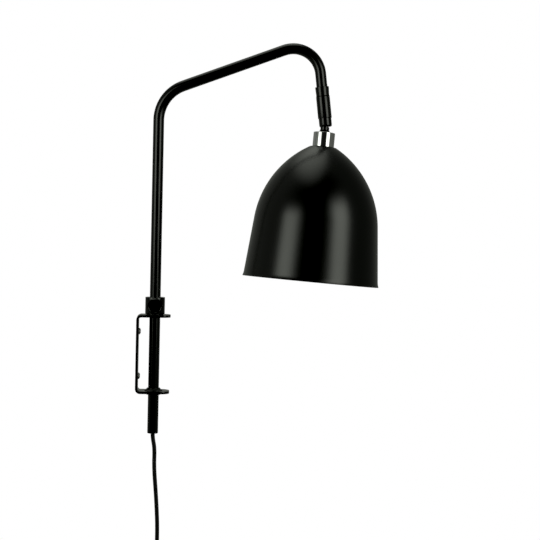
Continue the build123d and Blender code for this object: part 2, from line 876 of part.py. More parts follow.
def check_cord(builder, length):
    """Print a swept cord's length and how its volume compares with its section times that length."""
    ratio = builder.part.volume / (pi * cord_r**2 * length)
    print("cord length", round(length, 1), "volume over section times length", round(ratio, 5))


supply_points = [
    (axis_from_wall, 0, cord_start_z),
    (axis_from_wall, 0, -101.5),
    (axis_from_wall + 2.9, 0.2, -115.0),
    (axis_from_wall + 2.4, 0.6, -138.0),
    (axis_from_wall + 5.6, 0.3, -172.0),
    (axis_from_wall + 7.6, -0.1, -203.0),
    (hang_x, 0, -219.0),
    (hang_x, 0, switch_top_z - switch_wall),
]

with BuildPart() as supply_cord:
    supply_route_length = free_cord(supply_points)
check_cord(supply_cord, supply_route_length)
save(supply_cord, "supply_cord")

# Coil: a plane parallel to the wall, seen from the room. Angles run from the top towards -Y and down.
corner_z = switch_bottom_z - coil_drop
start = radians(coil_start_angle)
coil_z = corner_z - coil_lead_run * sin(start) - coil_outer_r * cos(start)
coil_y = coil_outer_r * sin(start) - coil_lead_run * cos(start)


def coil_point(angle, radius, x):
    """Point of the coil at an angle from its top, in degrees, a radius and a distance from the wall."""
    a = radians(angle)
    return Vector(x, coil_y - radius * sin(a), coil_z + radius * cos(a))


def coil_heading(angle):
    """Direction of the cord there, for a coil that runs from its top towards -Y."""
    a = radians(angle)
    return Vector(0, -cos(a), -sin(a))


def coil_stations():
    """Angle, radius and distance from the wall at each half turn: in and out again, layer by layer."""
    angle, radius, x, inward = coil_start_angle, coil_outer_r, hang_x, -1
    found = [(angle, radius, x)]
    for layer, half_turns in enumerate(coil_half_turns):
        if layer > 0:
            angle, x, inward = angle + 180, x - coil_layer_pitch, -inward
            found.append((angle, radius, x))
        for _ in range(half_turns):
            angle, radius = angle + 180, radius + inward * coil_pitch / 2
            found.append((angle, radius, x))
    return found


stations = coil_stations()
coil_start = coil_point(*stations[0])
coil_end = coil_point(*stations[-1])

with BuildPart() as cord_coil:
    with BuildLine() as coil_line:
        for here, there in zip(stations, stations[1:]):
            p0, p1 = coil_point(*here), coil_point(*there)
            t0, t1 = coil_heading(here[0]), coil_heading(there[0])
            reach = (p1 - p0).length / 2
            middle = (p0 + t0 * reach + p1 - t1 * reach) / 2
            across = ((p1 - t1 * reach) - (p0 + t0 * reach)).normalized()
            TangentArc(p0, middle, tangent=t0)
            TangentArc(middle, p1, tangent=across)
    coil_path = coil_line.wire()
    with BuildSketch(Plane(origin=coil_start, z_dir=coil_heading(coil_start_angle))):
        Circle(cord_r)
    sweep(path=coil_path)
coil_length = coil_path.length
check_cord(cord_coil, coil_length)
save(cord_coil, "cord_coil")

samples = ceil(coil_length / sample_step)
coil_samples = [coil_path @ (i / samples) for i in range(samples + 1)]
apart = int(8 * cord_r / sample_step)
nearest = min(
    dist(tuple(a), tuple(b)) for i, a in enumerate(coil_samples) for b in coil_samples[i + apart :]
)
print("coil's least gap to itself", round(nearest - 2 * cord_r, 2))

with BuildPart() as switch_cord:
    switch_route = [(hang_x, 0, switch_bottom_z + switch_wall), (hang_x, 0, corner_z), coil_start]
    switch_route_length = free_cord(switch_route)
check_cord(switch_cord, switch_route_length)
save(switch_cord, "switch_cord")

plug_corner = coil_end + coil_heading(coil_start_angle) * plug_lead_run
boot_top = plug_corner - Vector(0, 0, plug_drop_run)

with BuildPart() as plug_cord:
    plug_route_length = free_cord([coil_end, plug_corner, boot_top - Vector(0, 0, cord_seat_depth)])
check_cord(plug_cord, plug_route_length)
save(plug_cord, "plug_cord")

# The tie goes round the eight strands a quarter turn past the coil's start, midway between two stations
with BuildPart() as coil_tie:
    tie_at = coil_start_angle + 90
    tie_margin = cord_r + tie_gap
    bundle_width = coil_layer_pitch * (len(coil_half_turns) - 1) + 2 * tie_margin
    bundle_outer_r = (stations[0][1] + stations[1][1]) / 2 + tie_margin
    bundle_inner_r = (stations[2][1] + stations[3][1]) / 2 - tie_margin
    bundle_height = bundle_outer_r - bundle_inner_r
    tie_x = hang_x + tie_margin - bundle_width / 2
    tie_middle = coil_point(tie_at, (bundle_inner_r + bundle_outer_r) / 2, tie_x)
    with BuildSketch(Plane(origin=tie_middle, x_dir=(1, 0, 0), z_dir=coil_heading(tie_at))):
        strap = 2 * tie_thickness
        RectangleRounded(bundle_width + strap, bundle_height + strap, tie_margin + tie_thickness)
        RectangleRounded(bundle_width, bundle_height, tie_margin, mode=Mode.SUBTRACT)
    extrude(amount=tie_width / 2, both=True)
save(coil_tie, "coil_tie")

# ---- Cord switch: two shells, held by two screws, with the rocker in the front one ----
switch_middle = (hang_x, 0, switch_top_z - switch_length / 2)
switch_place = Plane(origin=switch_middle, x_dir=(1, 0, 0), z_dir=(0, -1, 0))
shell_depth = switch_depth / 2
inner_depth = shell_depth - switch_wall
screw_hole_points = [(0, switch_screw_inset), (0, -switch_screw_inset)]
rocker_axis_depth = shell_depth - rocker_rise
rocker_end_r = rocker_length / 2 - rocker_gap
rocker_half_width = rocker_width / 2 - rocker_gap
pin_hole_r = rocker_pin_r + running_gap


def switch_shell(side):
    """Half of the switch's case, in the part being built: 1 for the front half, -1 for the back half."""
    parting = switch_place.offset(side * seat_gap / 2)
    with BuildSketch(parting) as outline:
        RectangleRounded(switch_width, switch_length, switch_corner)
    extrude(outline.sketch, amount=side * shell_depth)
    far_face = faces().sort_by(Axis(switch_place.origin, switch_place.z_dir * side))[-1]
    fillet(far_face.edges(), switch_edge)
    with BuildSketch(parting) as hollow:
        inner_corner = switch_corner - switch_wall
        RectangleRounded(switch_width - 2 * switch_wall, switch_length - 2 * switch_wall, inner_corner)
    extrude(hollow.sketch, amount=side * inner_depth, mode=Mode.SUBTRACT)
    with BuildSketch(parting) as posts:
        with Locations(*screw_hole_points):
            Circle(switch_post_r)
    extrude(posts.sketch, amount=side * (inner_depth + switch_wall / 2))
    with Locations(switch_middle):
        Cylinder(cord_r + seat_gap, switch_length + 2 * cut_past, mode=Mode.SUBTRACT)


with BuildPart() as switch_base:
    switch_shell(-1)
    with BuildSketch(switch_place.offset(-shell_depth - seat_gap)):
        with Locations(*screw_hole_points):
            Circle(switch_screw_head_r + seat_gap)
    extrude(amount=switch_screw_head_height + seat_gap, mode=Mode.SUBTRACT)
    with BuildSketch(switch_place.offset(-shell_depth)):
        with Locations(*screw_hole_points):
            Circle(switch_screw_r + seat_gap)
    extrude(amount=shell_depth, mode=Mode.SUBTRACT)
save(switch_base, "switch_base")

with BuildPart() as switch_cover:
    switch_shell(1)
    with BuildSketch(switch_place.offset(seat_gap / 2)):
        with Locations(*screw_hole_points):
            Circle(switch_screw_r + thread_gap)
    extrude(amount=switch_screw_bite + seat_gap, mode=Mode.SUBTRACT)
    with BuildSketch(switch_place.offset(rocker_axis_depth - rocker_ear_depth)):
        ear_x = (rocker_width + rocker_ear_thickness) / 2
        with Locations((-ear_x, 0), (ear_x, 0)):
            Rectangle(rocker_ear_thickness, 4 * rocker_pin_r)
    extrude(amount=rocker_ear_depth + 0.5 * switch_wall)
    with BuildSketch(switch_place.offset(rocker_axis_depth - rocker_ear_depth)):
        Rectangle(rocker_width, rocker_length)
    extrude(amount=shell_depth, mode=Mode.SUBTRACT)
    with Locations(Plane(origin=switch_place.from_local_coords((0, 0, rocker_axis_depth)), z_dir=(1, 0, 0))):
        Cylinder(pin_hole_r, rocker_pin_length + 2 * seat_gap, mode=Mode.SUBTRACT)
save(switch_cover, "switch_cover")

with BuildPart() as switch_screws:
    for x, y in screw_hole_points:
        head_out = switch_place.from_local_coords((x, y, -shell_depth))
        turn(
            Plane(origin=head_out, x_dir=(1, 0, 0), z_dir=switch_place.z_dir),
            (0, 0),
            (switch_screw_head_r, 0),
            (switch_screw_head_r, switch_screw_head_height - seat_gap),
            (switch_screw_r, switch_screw_head_height - seat_gap),
            (switch_screw_r, shell_depth + switch_screw_bite),
            (0, shell_depth + switch_screw_bite),
        )
save(switch_screws, "switch_screws")

# The rocker rests tilted: its lower half lies level with the case and its upper half stands out
with BuildPart() as switch_rocker:
    pivot = switch_place.from_local_coords((0, 0, rocker_axis_depth))
    rocker_place = Plane(origin=pivot, x_dir=(0, 0, 1), z_dir=(1, 0, 0)).rotated((0, 0, rocker_half_throw))
    peak = rocker_rise + rocker_end_r * tan(radians(rocker_half_throw))
    with BuildSketch(rocker_place):
        with BuildLine():
            Polyline(
                (0, rocker_rise),
                (rocker_end_r, peak),
                (rocker_end_r, -rocker_body),
                (-rocker_end_r, -rocker_body),
                (-rocker_end_r, peak),
                close=True,
            )
        make_face()
        Circle(rocker_end_r, mode=Mode.INTERSECT)
    extrude(amount=rocker_half_width, both=True)
    with Locations(Plane(origin=pivot, z_dir=(1, 0, 0))):
        Cylinder(rocker_pin_r, rocker_pin_length)
save(switch_rocker, "switch_rocker")

# ---- Mains plug: strain relief, flat body and two pins ----
plug_down = Plane(origin=boot_top, x_dir=(1, 0, 0), z_dir=(0, 0, -1))
plug_top = boot_length + seat_gap
plug_face = plug_top + plug_length
plug_socket = plug_down.offset(plug_face)

with BuildPart() as plug_boot:
    turn(
        plug_down,
        (0, cord_seat_depth + seat_gap),
        (cord_r + seat_gap, cord_seat_depth + seat_gap),
        (cord_r + seat_gap, 0),
        (boot_top_r, 0),
        (boot_bottom_r, boot_length),
        (0, boot_length),
    )
save(plug_boot, "plug_boot")

with BuildPart() as plug_body:
    with BuildSketch(Plane(origin=boot_top, x_dir=(0, 1, 0), z_dir=(1, 0, 0))):
        with BuildLine():
            Polyline(
                (-plug_shoulder_width / 2, -plug_top),
                (plug_shoulder_width / 2, -plug_top),
                (plug_width / 2, -plug_top - plug_shoulder_drop),
                (plug_width / 2, -plug_face),
                (-plug_width / 2, -plug_face),
                (-plug_width / 2, -plug_top - plug_shoulder_drop),
                close=True,
            )
        make_face()
    extrude(amount=plug_thickness / 2, both=True)
    fillet(plug_body.edges(), plug_edge)
    with BuildSketch(plug_socket):
        with Locations((0, pin_spacing / 2), (0, -pin_spacing / 2)):
            Circle(pin_root_r + seat_gap)
    extrude(amount=-pin_root - seat_gap, mode=Mode.SUBTRACT)
save(plug_body, "plug_body")

with BuildPart() as plug_pins:
    for side in (-1, 1):
        turn(
            Plane(origin=plug_socket.from_local_coords((0, side * pin_spacing / 2, 0)), z_dir=(0, 0, -1)),
            (0, -pin_root),
            (pin_root_r, -pin_root),
            (pin_root_r, 0),
            (pin_r, 0),
            (pin_r, pin_length - pin_tip_round),
            (pin_r - round_step * pin_tip_round, pin_length - round_step * pin_tip_round),
            (pin_r - pin_tip_round, pin_length),
            (0, pin_length),
        )
save(plug_pins, "plug_pins")

free_length = supply_route_length + switch_route_length + coil_length + plug_route_length
print("cord outside the tube", round(free_length, 1))
print("seam", joint_place.origin, "ball", ball_centre, "tip", tip_down, "tilt axis", tilt_axis)
print("head up", head_up, "rim", head_place.origin, "plug face", plug_socket.origin, "pivot", pivot)
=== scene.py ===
"""Dress the swing-arm wall lamp: camera, cords, turned and formed pieces, finishes and studio light."""

from __future__ import annotations

import json
import logging
import math
from dataclasses import dataclass
from enum import Enum
from typing import Callable, Sequence

import bpy
from mathutils import Matrix, Vector

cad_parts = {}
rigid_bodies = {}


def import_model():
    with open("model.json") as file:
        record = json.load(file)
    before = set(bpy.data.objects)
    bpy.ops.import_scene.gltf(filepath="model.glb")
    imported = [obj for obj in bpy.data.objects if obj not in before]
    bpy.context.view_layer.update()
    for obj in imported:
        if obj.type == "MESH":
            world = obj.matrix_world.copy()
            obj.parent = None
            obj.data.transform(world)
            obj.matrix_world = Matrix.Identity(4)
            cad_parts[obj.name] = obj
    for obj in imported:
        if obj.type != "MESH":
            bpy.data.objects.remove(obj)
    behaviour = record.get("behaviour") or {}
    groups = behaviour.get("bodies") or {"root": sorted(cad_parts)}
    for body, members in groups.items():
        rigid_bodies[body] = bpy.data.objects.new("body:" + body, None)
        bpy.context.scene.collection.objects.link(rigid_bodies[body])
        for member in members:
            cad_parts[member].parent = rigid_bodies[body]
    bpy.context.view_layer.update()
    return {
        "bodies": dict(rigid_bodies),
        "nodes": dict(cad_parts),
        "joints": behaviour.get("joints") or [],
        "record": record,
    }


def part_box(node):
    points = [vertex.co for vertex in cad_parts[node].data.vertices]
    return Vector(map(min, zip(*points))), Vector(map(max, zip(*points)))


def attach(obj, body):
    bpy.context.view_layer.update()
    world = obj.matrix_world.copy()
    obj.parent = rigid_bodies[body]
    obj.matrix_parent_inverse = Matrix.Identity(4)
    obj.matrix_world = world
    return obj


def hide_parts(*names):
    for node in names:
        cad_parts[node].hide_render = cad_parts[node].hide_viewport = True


LOG = logging.getLogger("wall_lamp")
MM = 0.001
UP = Vector((0.0, 0.0, 1.0))
# Millimetres over the shade's rim, along the head's axis.
BALL_HEIGHT, HOT_HEIGHT = 189.3, 120.0
# Vertices nearer than this are joined, on made pieces and on copies of CAD nodes.
WELD, CAD_WELD = 0.000004, 0.000002
# Degrees: facets of one plane, edges that get broken, edges that are shaded smooth.
FLAT, SHARP, SMOOTH = 1.0, 28.0, 35.0
# The Mix node's colour sockets, whose names its other forms share.
MIX_FIRST, MIX_SECOND, MIX_RESULT = 6, 7, 2
# Facets round a turned piece, and round one whose edge is seen closely.
ROUND, FINE = 72, 96
# The colour of the studio's light, and what the bit of wall round each screw gives off.
LIGHT_TINT = (0.95, 1.0, 0.89)
WALL_GLOW = 1.05
Piece = bpy.types.Object
Pair = tuple[float, float]
Triple = tuple[float, float, float]
Outline = Sequence[Pair]
Lathe = tuple[Vector, Vector]


# ---- Shader sums ----
def operator(operation: str, reflected: bool = False) -> Callable[[Wire, Wire | float], Wire]:
    """Make an operator's method, which adds one Math node.

    Args:
        operation: The node's operation.
        reflected: Whether the wire stands to the right of the operator.

    Returns:
        The method.
    """

    def method(self: Wire, other: Wire | float) -> Wire:
        """Work the two out."""
        return self.kit.sum(operation, *((other, self) if reflected else (self, other)))

    return method


@dataclass(frozen=True)
class Wire:
    """A value in a material's node tree, on which sums are written as on paper."""

    kit: ShaderKit
    socket: bpy.types.NodeSocket

    __add__, __radd__ = operator("ADD"), operator("ADD", True)
    __sub__, __rsub__ = operator("SUBTRACT"), operator("SUBTRACT", True)
    __mul__, __rmul__ = operator("MULTIPLY"), operator("MULTIPLY", True)
    __truediv__, __rtruediv__ = operator("DIVIDE"), operator("DIVIDE", True)

    def ramp(self, low: float, high: float) -> Wire:
        """Rise smoothly from 0 at low to 1 at high."""
        ends = {"Value": self, "From Min": low, "From Max": high}
        return self.kit.add("MapRange", ends, interpolation_type="SMOOTHSTEP")


class ShaderKit:
    """The node tree of one material, with its Principled shader."""

    def __init__(self, name: str) -> None:
        """Start a material of this name with an empty tree, a shader and an output."""
        self.material = bpy.data.materials.new(name)
        self.material.use_nodes = True
        self.tree = self.material.node_tree
        self.tree.nodes.clear()
        self.shader = self.tree.nodes.new("ShaderNodeBsdfPrincipled")
        output = self.tree.nodes.new("ShaderNodeOutputMaterial")
        self.tree.links.new(self.shader.outputs["BSDF"], output.inputs["Surface"])

    def feed(self, socket: bpy.types.NodeSocket, value: object) -> None:
        """Link a wire to a socket, or give the socket a value."""
        if isinstance(value, Wire):
            self.tree.links.new(value.socket, socket)
        else:
            socket.default_value = value

    def add(
        self, kind: str, inputs: dict[str | int, object], output: str | int | None = 0, **settings: str
    ) -> Wire | None:
        """Add a node of any kind.

        Args:
            kind: The node's type, without its prefix.
            inputs: Values or wires for its sockets.
            output: The socket that is handed back, or None for a node with none.
            settings: Its own properties.

        Returns:
            The value on that socket.
        """
        node = self.tree.nodes.new("ShaderNode" + kind)
        for key, value in settings.items():
            setattr(node, key, value)
        for key, value in inputs.items():
            self.feed(node.inputs[key], value)
        return None if output is None else Wire(self, node.outputs[output])

    def sum(self, operation: str, *values: Wire | float) -> Wire:
        """Work out one operation of the Math node."""
        return self.add("Math", dict(enumerate(values)), operation=operation)

    def place(self) -> Wire:
        """Give the point's place in the object's own coordinates."""
        return self.add("TexCoord", {}, "Object")

    def measure(self, operation: str, where: Wire, other: Sequence[float]) -> Wire:
        """Give a dot product or a distance, of a place or a direction and another one."""
        return self.add("VectorMath", {0: where, 1: tuple(other)}, "Value", operation=operation)

    def worn(self, low: float, high: float) -> Wire:
        """Find worn edges: 0 on flats, 1 on sharp outer edges."""
        return self.add("NewGeometry", {}, "Pointiness").ramp(low, high)

    def stretched(self, scale: Triple) -> Wire:
        """Give the object coordinates, each axis scaled by its own factor."""
        return self.add("Mapping", {"Vector": self.place(), "Scale": scale})

    def noise(self, scale: float, detail: float = 3.0, where: Wire | None = None) -> Wire:
        """Give soft noise between 0 and 1, in cells per metre of the object or of other coordinates."""
        return self.add("TexNoise", {"Vector": where or self.place(), "Scale": scale, "Detail": detail})

    def blend(self, share: Wire, first: Triple, second: Triple) -> Wire:
        """Mix two colours, of which a share of 0 gives the first and 1 the second."""
        colours = {MIX_FIRST: (*first, 1.0), MIX_SECOND: (*second, 1.0)}
        return self.add("Mix", {0: share, **colours}, MIX_RESULT, data_type="RGBA")

    def relief(self, height: Wire, strength: float, depth: float) -> None:
        """Emboss the surface by a height between 0 and 1 that stands for a depth in metres."""
        self.set(Normal=self.add("Bump", {"Height": height, "Strength": strength, "Distance": depth}))

    def set(self, **sockets: object) -> None:
        """Set the shader's sockets: an underscore in a name stands for a space."""
        for key, value in sockets.items():
            self.feed(self.shader.inputs[key.replace("_", " ")], value)


class GlowKit(ShaderKit):
    """The node tree of a light, of the surroundings or of the bit of wall round a screw."""

    def __init__(self, source: bpy.types.Light | bpy.types.World | bpy.types.Material) -> None:
        """Empty the source's tree."""
        source.use_nodes = True
        self.tree = source.node_tree
        self.tree.nodes.clear()

    def along(self, way: Vector) -> Wire:
        """Give how far a ray's direction points along another one."""
        return self.measure("DOT_PRODUCT", self.add("TexCoord", {}, "Generated"), way)

    def table(self, value: Wire, points: Outline) -> Wire:
        """Read a value between 0 and 1 off a table of (place, share) points that ends in 1.0."""
        ramp = self.tree.nodes.new("ShaderNodeValToRGB")
        stops = ramp.color_ramp.elements
        for place, share in points[1:-1]:
            stops.new(place).color = (share, share, share, 1.0)
        for stop, (_, share) in ((stops[0], points[0]), (stops[-1], points[-1])):
            stop.color = (share, share, share, 1.0)
        self.feed(ramp.inputs["Fac"], value)
        return Wire(self, ramp.outputs["Color"])


# ---- Finishes ----
@dataclass(frozen=True)
class Surface:
    """A finish of one colour that drifts to another."""

    colour: Triple
    other: Triple

    def paint(self, kit: ShaderKit) -> None:
        """Mix the finish.

        Args:
            kit: The material's own kit.
        """
        raise NotImplementedError

    def coat(self, kit: ShaderKit, share: Wire, roughness: Wire, **sockets: float) -> None:
        """Set the two colours' mix, the roughness and any other sockets."""
        kit.set(Base_Color=kit.blend(share, self.colour, self.other), Roughness=roughness, **sockets)

    def material(self, name: str) -> bpy.types.Material:
        """Build the material of this name."""
        kit = ShaderKit(name)
        self.paint(kit)
        return kit.material


@dataclass(frozen=True)
class Lacquer(Surface):
    """Black lacquer on steel: fine orange peel, cloudy gloss and slightly rubbed edges."""

    gloss: float
    cloud: float
    peel: float
    peel_depth: float

    def paint(self, kit: ShaderKit) -> None:
        """Mix the lacquer."""
        cloud = kit.noise(22.0, 4.0)
        peel = kit.noise(self.peel, 2.0)
        dust = kit.noise(2600.0, 1.0)
        rubbed = kit.worn(0.53, 0.62) * kit.noise(160.0, 5.0).ramp(0.45, 0.7)
        share = rubbed * 0.7 + cloud * 0.3
        roughness = self.gloss + (cloud - 0.5) * self.cloud + (dust - 0.5) * 0.05 - rubbed * 0.06
        self.coat(kit, share, roughness, IOR=1.5)
        kit.relief(peel * 0.8 + dust * 0.2, 0.35, self.peel_depth)


@dataclass(frozen=True)
class SpunLacquer(Surface):
    """Matt lacquer on a spun shade: fine grain and the faint rings of the spinning tool."""

    gloss: float
    axis: Vector
    ring_pitch: float = 0.0022

    def paint(self, kit: ShaderKit) -> None:
        """Mix the shade's outer finish."""
        height = kit.measure("DOT_PRODUCT", kit.place(), self.axis)
        grain = kit.noise(1900.0, 2.0)
        cloud = kit.noise(14.0, 4.0)
        turn = math.tau / self.ring_pitch
        rings = kit.sum("SINE", height * turn + cloud * 5.0)
        share = cloud * 0.6 + grain * 0.3
        roughness = self.gloss + (cloud - 0.5) * 0.07 + (grain - 0.5) * 0.05
        self.coat(kit, share, roughness, IOR=1.5)
        kit.relief(grain * 0.7 + (rings * 0.5 + 0.5) * 0.08, 0.3, 0.00012)


@dataclass(frozen=True)
class BakedWhite(Surface):
    """White lacquer inside the shade, a little yellow near the lamp."""

    hot: Vector

    def paint(self, kit: ShaderKit) -> None:
        """Mix the shade's inner finish."""
        away = kit.measure("DISTANCE", kit.place(), self.hot)
        cloud = kit.noise(26.0, 4.0)
        heat = (1.0 - away.ramp(0.02, 0.085)) * (0.6 + cloud * 0.4)
        self.coat(kit, heat, 0.42 + (cloud - 0.5) * 0.12, IOR=1.5)
        kit.relief(kit.noise(700.0, 2.0), 0.3, 0.0001)


@dataclass(frozen=True)
class Plating(Surface):
    """Polished chrome plate: hairline scratches and a breath of haze."""

    gloss: float = 0.05

    def paint(self, kit: ShaderKit) -> None:
        """Mix the chrome."""
        hair = kit.noise(1.0, 5.0, kit.stretched((90.0, 90.0, 4200.0))).ramp(0.6, 0.78)
        haze = kit.noise(60.0, 3.0)
        self.coat(kit, haze, self.gloss + hair * 0.07 + haze * 0.03, Metallic=1.0)
        kit.relief(hair, 0.08, 0.00003)


@dataclass(frozen=True)
class TurnedMetal(Surface):
    """Bare or thinly plated metal with tool marks and a dull bloom."""

    gloss: float
    marks: Triple = (300.0, 300.0, 5000.0)

    def paint(self, kit: ShaderKit) -> None:
        """Mix the metal."""
        lines = kit.noise(1.0, 3.0, kit.stretched(self.marks))
        bloom = kit.noise(210.0, 4.0)
        share = bloom.ramp(0.35, 0.75)
        roughness = self.gloss + (lines - 0.5) * 0.16 + (bloom - 0.5) * 0.18
        self.coat(kit, share, roughness, Metallic=1.0)
        kit.relief(lines, 0.2, 0.00006)


@dataclass(frozen=True)
class Moulding(Surface):
    """Moulded plastic: spark-eroded grain, gloss that wanders, and paler handled edges."""

    gloss: float
    grain: float
    grain_depth: float

    def paint(self, kit: ShaderKit) -> None:
        """Mix the plastic."""
        grain = kit.add("TexVoronoi", {"Vector": kit.place(), "Scale": self.grain}, "Distance")
        cloud = kit.noise(70.0, 4.0)
        rubbed = kit.worn(0.52, 0.6) * cloud
        share = rubbed * 0.6 + cloud * 0.25
        roughness = self.gloss + (cloud - 0.5) * 0.1 + (grain - 0.3) * 0.06
        self.coat(kit, share, roughness, IOR=1.48)
        kit.relief(grain, 0.4, self.grain_depth)


@dataclass(frozen=True)
class Glaze(Surface):
    """White glazed porcelain with fine specks."""

    def paint(self, kit: ShaderKit) -> None:
        """Mix the porcelain."""
        specks = kit.noise(900.0, 2.0).ramp(0.68, 0.76)
        pool = kit.noise(90.0, 3.0)
        self.coat(kit, specks * 0.6 + pool * 0.2, 0.16 + (pool - 0.5) * 0.1, IOR=1.52)
        kit.relief(pool, 0.15, 0.0002)


@dataclass(frozen=True)
class Sheath(Surface):
    """Soft cord sheath: extrusion lines, handling shine and a little dust."""

    gloss: float = 0.5

    def paint(self, kit: ShaderKit) -> None:
        """Mix the sheath."""
        skin = kit.noise(1500.0, 2.0)
        shine = kit.noise(34.0, 3.0)
        dust = kit.noise(420.0, 5.0).ramp(0.55, 0.8)
        self.coat(kit, dust * 0.5 + shine * 0.2, self.gloss + (shine - 0.5) * 0.14 + dust * 0.06, IOR=1.5)
        kit.relief(skin, 0.3, 0.00008)


@dataclass(frozen=True)
class CorePair(Surface):
    """The two inner cores: one colour on one side of the lamp's axis and one on the other."""

    middle: Vector
    across: Vector

    def paint(self, kit: ShaderKit) -> None:
        """Mix the cores' colours."""
        side = kit.measure("DOT_PRODUCT", kit.place(), self.across)
        shine = kit.noise(500.0, 3.0)
        edge = self.middle.dot(self.across)
        self.coat(kit, side.ramp(edge - 0.0001, edge + 0.0001), 0.32 + (shine - 0.5) * 0.2)
        kit.relief(shine, 0.2, 0.00005)


class Finish(Enum):
    """The record's material slots."""

    SATIN_BLACK = "satin_black"
    MATT_BLACK = "matt_black"
    CHROME_PLATE = "chrome_plate"
    SCREW_STEEL = "screw_steel"
    SPRING_STEEL = "spring_steel"
    CONTACT_BRASS = "contact_brass"
    BLACK_PLASTIC = "black_plastic"
    HOLDER_PLASTIC = "holder_plastic"
    WHITE_CERAMIC = "white_ceramic"
    CORD_SHEATH = "cord_sheath"
    CORE_SLEEVE = "core_sleeve"
    PLUG_METAL = "plug_metal"


# ---- Where things are ----
@dataclass(frozen=True)
class Axes:
    """The lamp's own axes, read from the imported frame."""

    post: Vector
    seam: Vector
    tip: Vector
    head_up: Vector
    rim: Vector

    @classmethod
    def read(cls, frame: dict) -> Axes:
        """Read the axes.


        Returns:
            The axes.
        """
        joints = {joint["name"]: joint for joint in frame["record"]["behaviour"]["joints"]}
        mounts = {mount["name"]: mount for mount in frame["record"]["mounts"]}
        ball = Vector(joints["head_tilt"]["pos_m"])
        head_up = -Vector(mounts["bulb_socket"]["axis"]).normalized()
        return cls(
            post=Vector(joints["arm_swing"]["pos_m"]),
            seam=Vector(joints["joint_pan"]["pos_m"]),
            tip=Vector(joints["joint_pan"]["axis"]).normalized(),
            head_up=head_up,
            rim=ball - head_up * (BALL_HEIGHT * MM),
        )

    def on_post(self, height: float) -> Vector:
        """Give the point on the tube's axis at a height in millimetres."""
        return Vector((self.post.x, self.post.y, height * MM))


# ---- Shaping ----
def facing(azimuth: float, elevation: float) -> Vector:
    """Give the direction from the lamp to a place round it, both angles in degrees."""
    a, e = math.radians(azimuth), math.radians(elevation)
    return Vector((math.sin(a) * math.cos(e), -math.cos(a) * math.cos(e), math.sin(e)))


def alone(piece: Piece) -> None:
    """Select one object only and make it the active one."""
    bpy.ops.object.select_all(action="DESELECT")
    piece.select_set(True)
    bpy.context.view_layer.objects.active = piece


def aimed(origin: Vector, axis: Vector) -> Matrix:
    """Give the placement that moves the origin to a point and turns +Z along an axis."""
    return Matrix.Translation(origin) @ axis.to_track_quat("Z", "Y").to_matrix().to_4x4()


def linked(name: str, data: bpy.types.ID) -> Piece:
    """Put a new object with this data into the scene."""
    piece = bpy.data.objects.new(name, data)
    bpy.context.scene.collection.objects.link(piece)
    return piece


def smoothed(angle: float = SMOOTH) -> None:
    """Shade the active piece smooth across edges under this many degrees."""
    bpy.ops.object.shade_smooth_by_angle(angle=math.radians(angle))


def opened(kind: str = "VERT") -> None:
    """Enter edit mode on the active piece, with all its vertices or edges selected."""
    bpy.ops.object.mode_set(mode="EDIT")
    bpy.ops.mesh.select_mode(type=kind)
    bpy.ops.mesh.select_all(action="SELECT")


def closed() -> None:
    """Join the active piece's seams in edit mode, turn its faces outwards and leave edit mode."""
    bpy.ops.mesh.select_all(action="SELECT")
    bpy.ops.mesh.remove_doubles(threshold=WELD)
    bpy.ops.mesh.normals_make_consistent(inside=False)
    bpy.ops.object.mode_set(mode="OBJECT")


def broken(piece: Piece, bevel: float) -> None:
    """Break a piece's sharp edges and shade it smooth.

    Args:
        piece: The piece.
        bevel: Width of the broken edges in millimetres.
    """
    alone(piece)
    edges = piece.modifiers.new("broken_edges", "BEVEL")
    edges.limit_method = "ANGLE"
    edges.angle_limit = math.radians(SHARP)
    edges.width = bevel * MM
    edges.segments = 2
    bpy.ops.object.modifier_apply(modifier=edges.name)
    smoothed()


def arc(centre: Pair, radius: float, start: float, end: float, steps: int) -> list[Pair]:
    """Give points on an arc, its angles in degrees from the radius axis towards the height axis."""
    angles = [math.radians(start + (end - start) * i / steps) for i in range(steps + 1)]
    return [(centre[0] + radius * math.cos(a), centre[1] + radius * math.sin(a)) for a in angles]


def rounded(corner: Pair, radius: float, start: float) -> list[Pair]:
    """Round a square outer corner with a quarter circle that begins at an angle in degrees."""
    middle = math.radians(start + 45.0)
    reach = radius * math.sqrt(2.0)
    centre = (corner[0] - reach * math.cos(middle), corner[1] - reach * math.sin(middle))
    return arc(centre, radius, start, start + 90.0, 4)


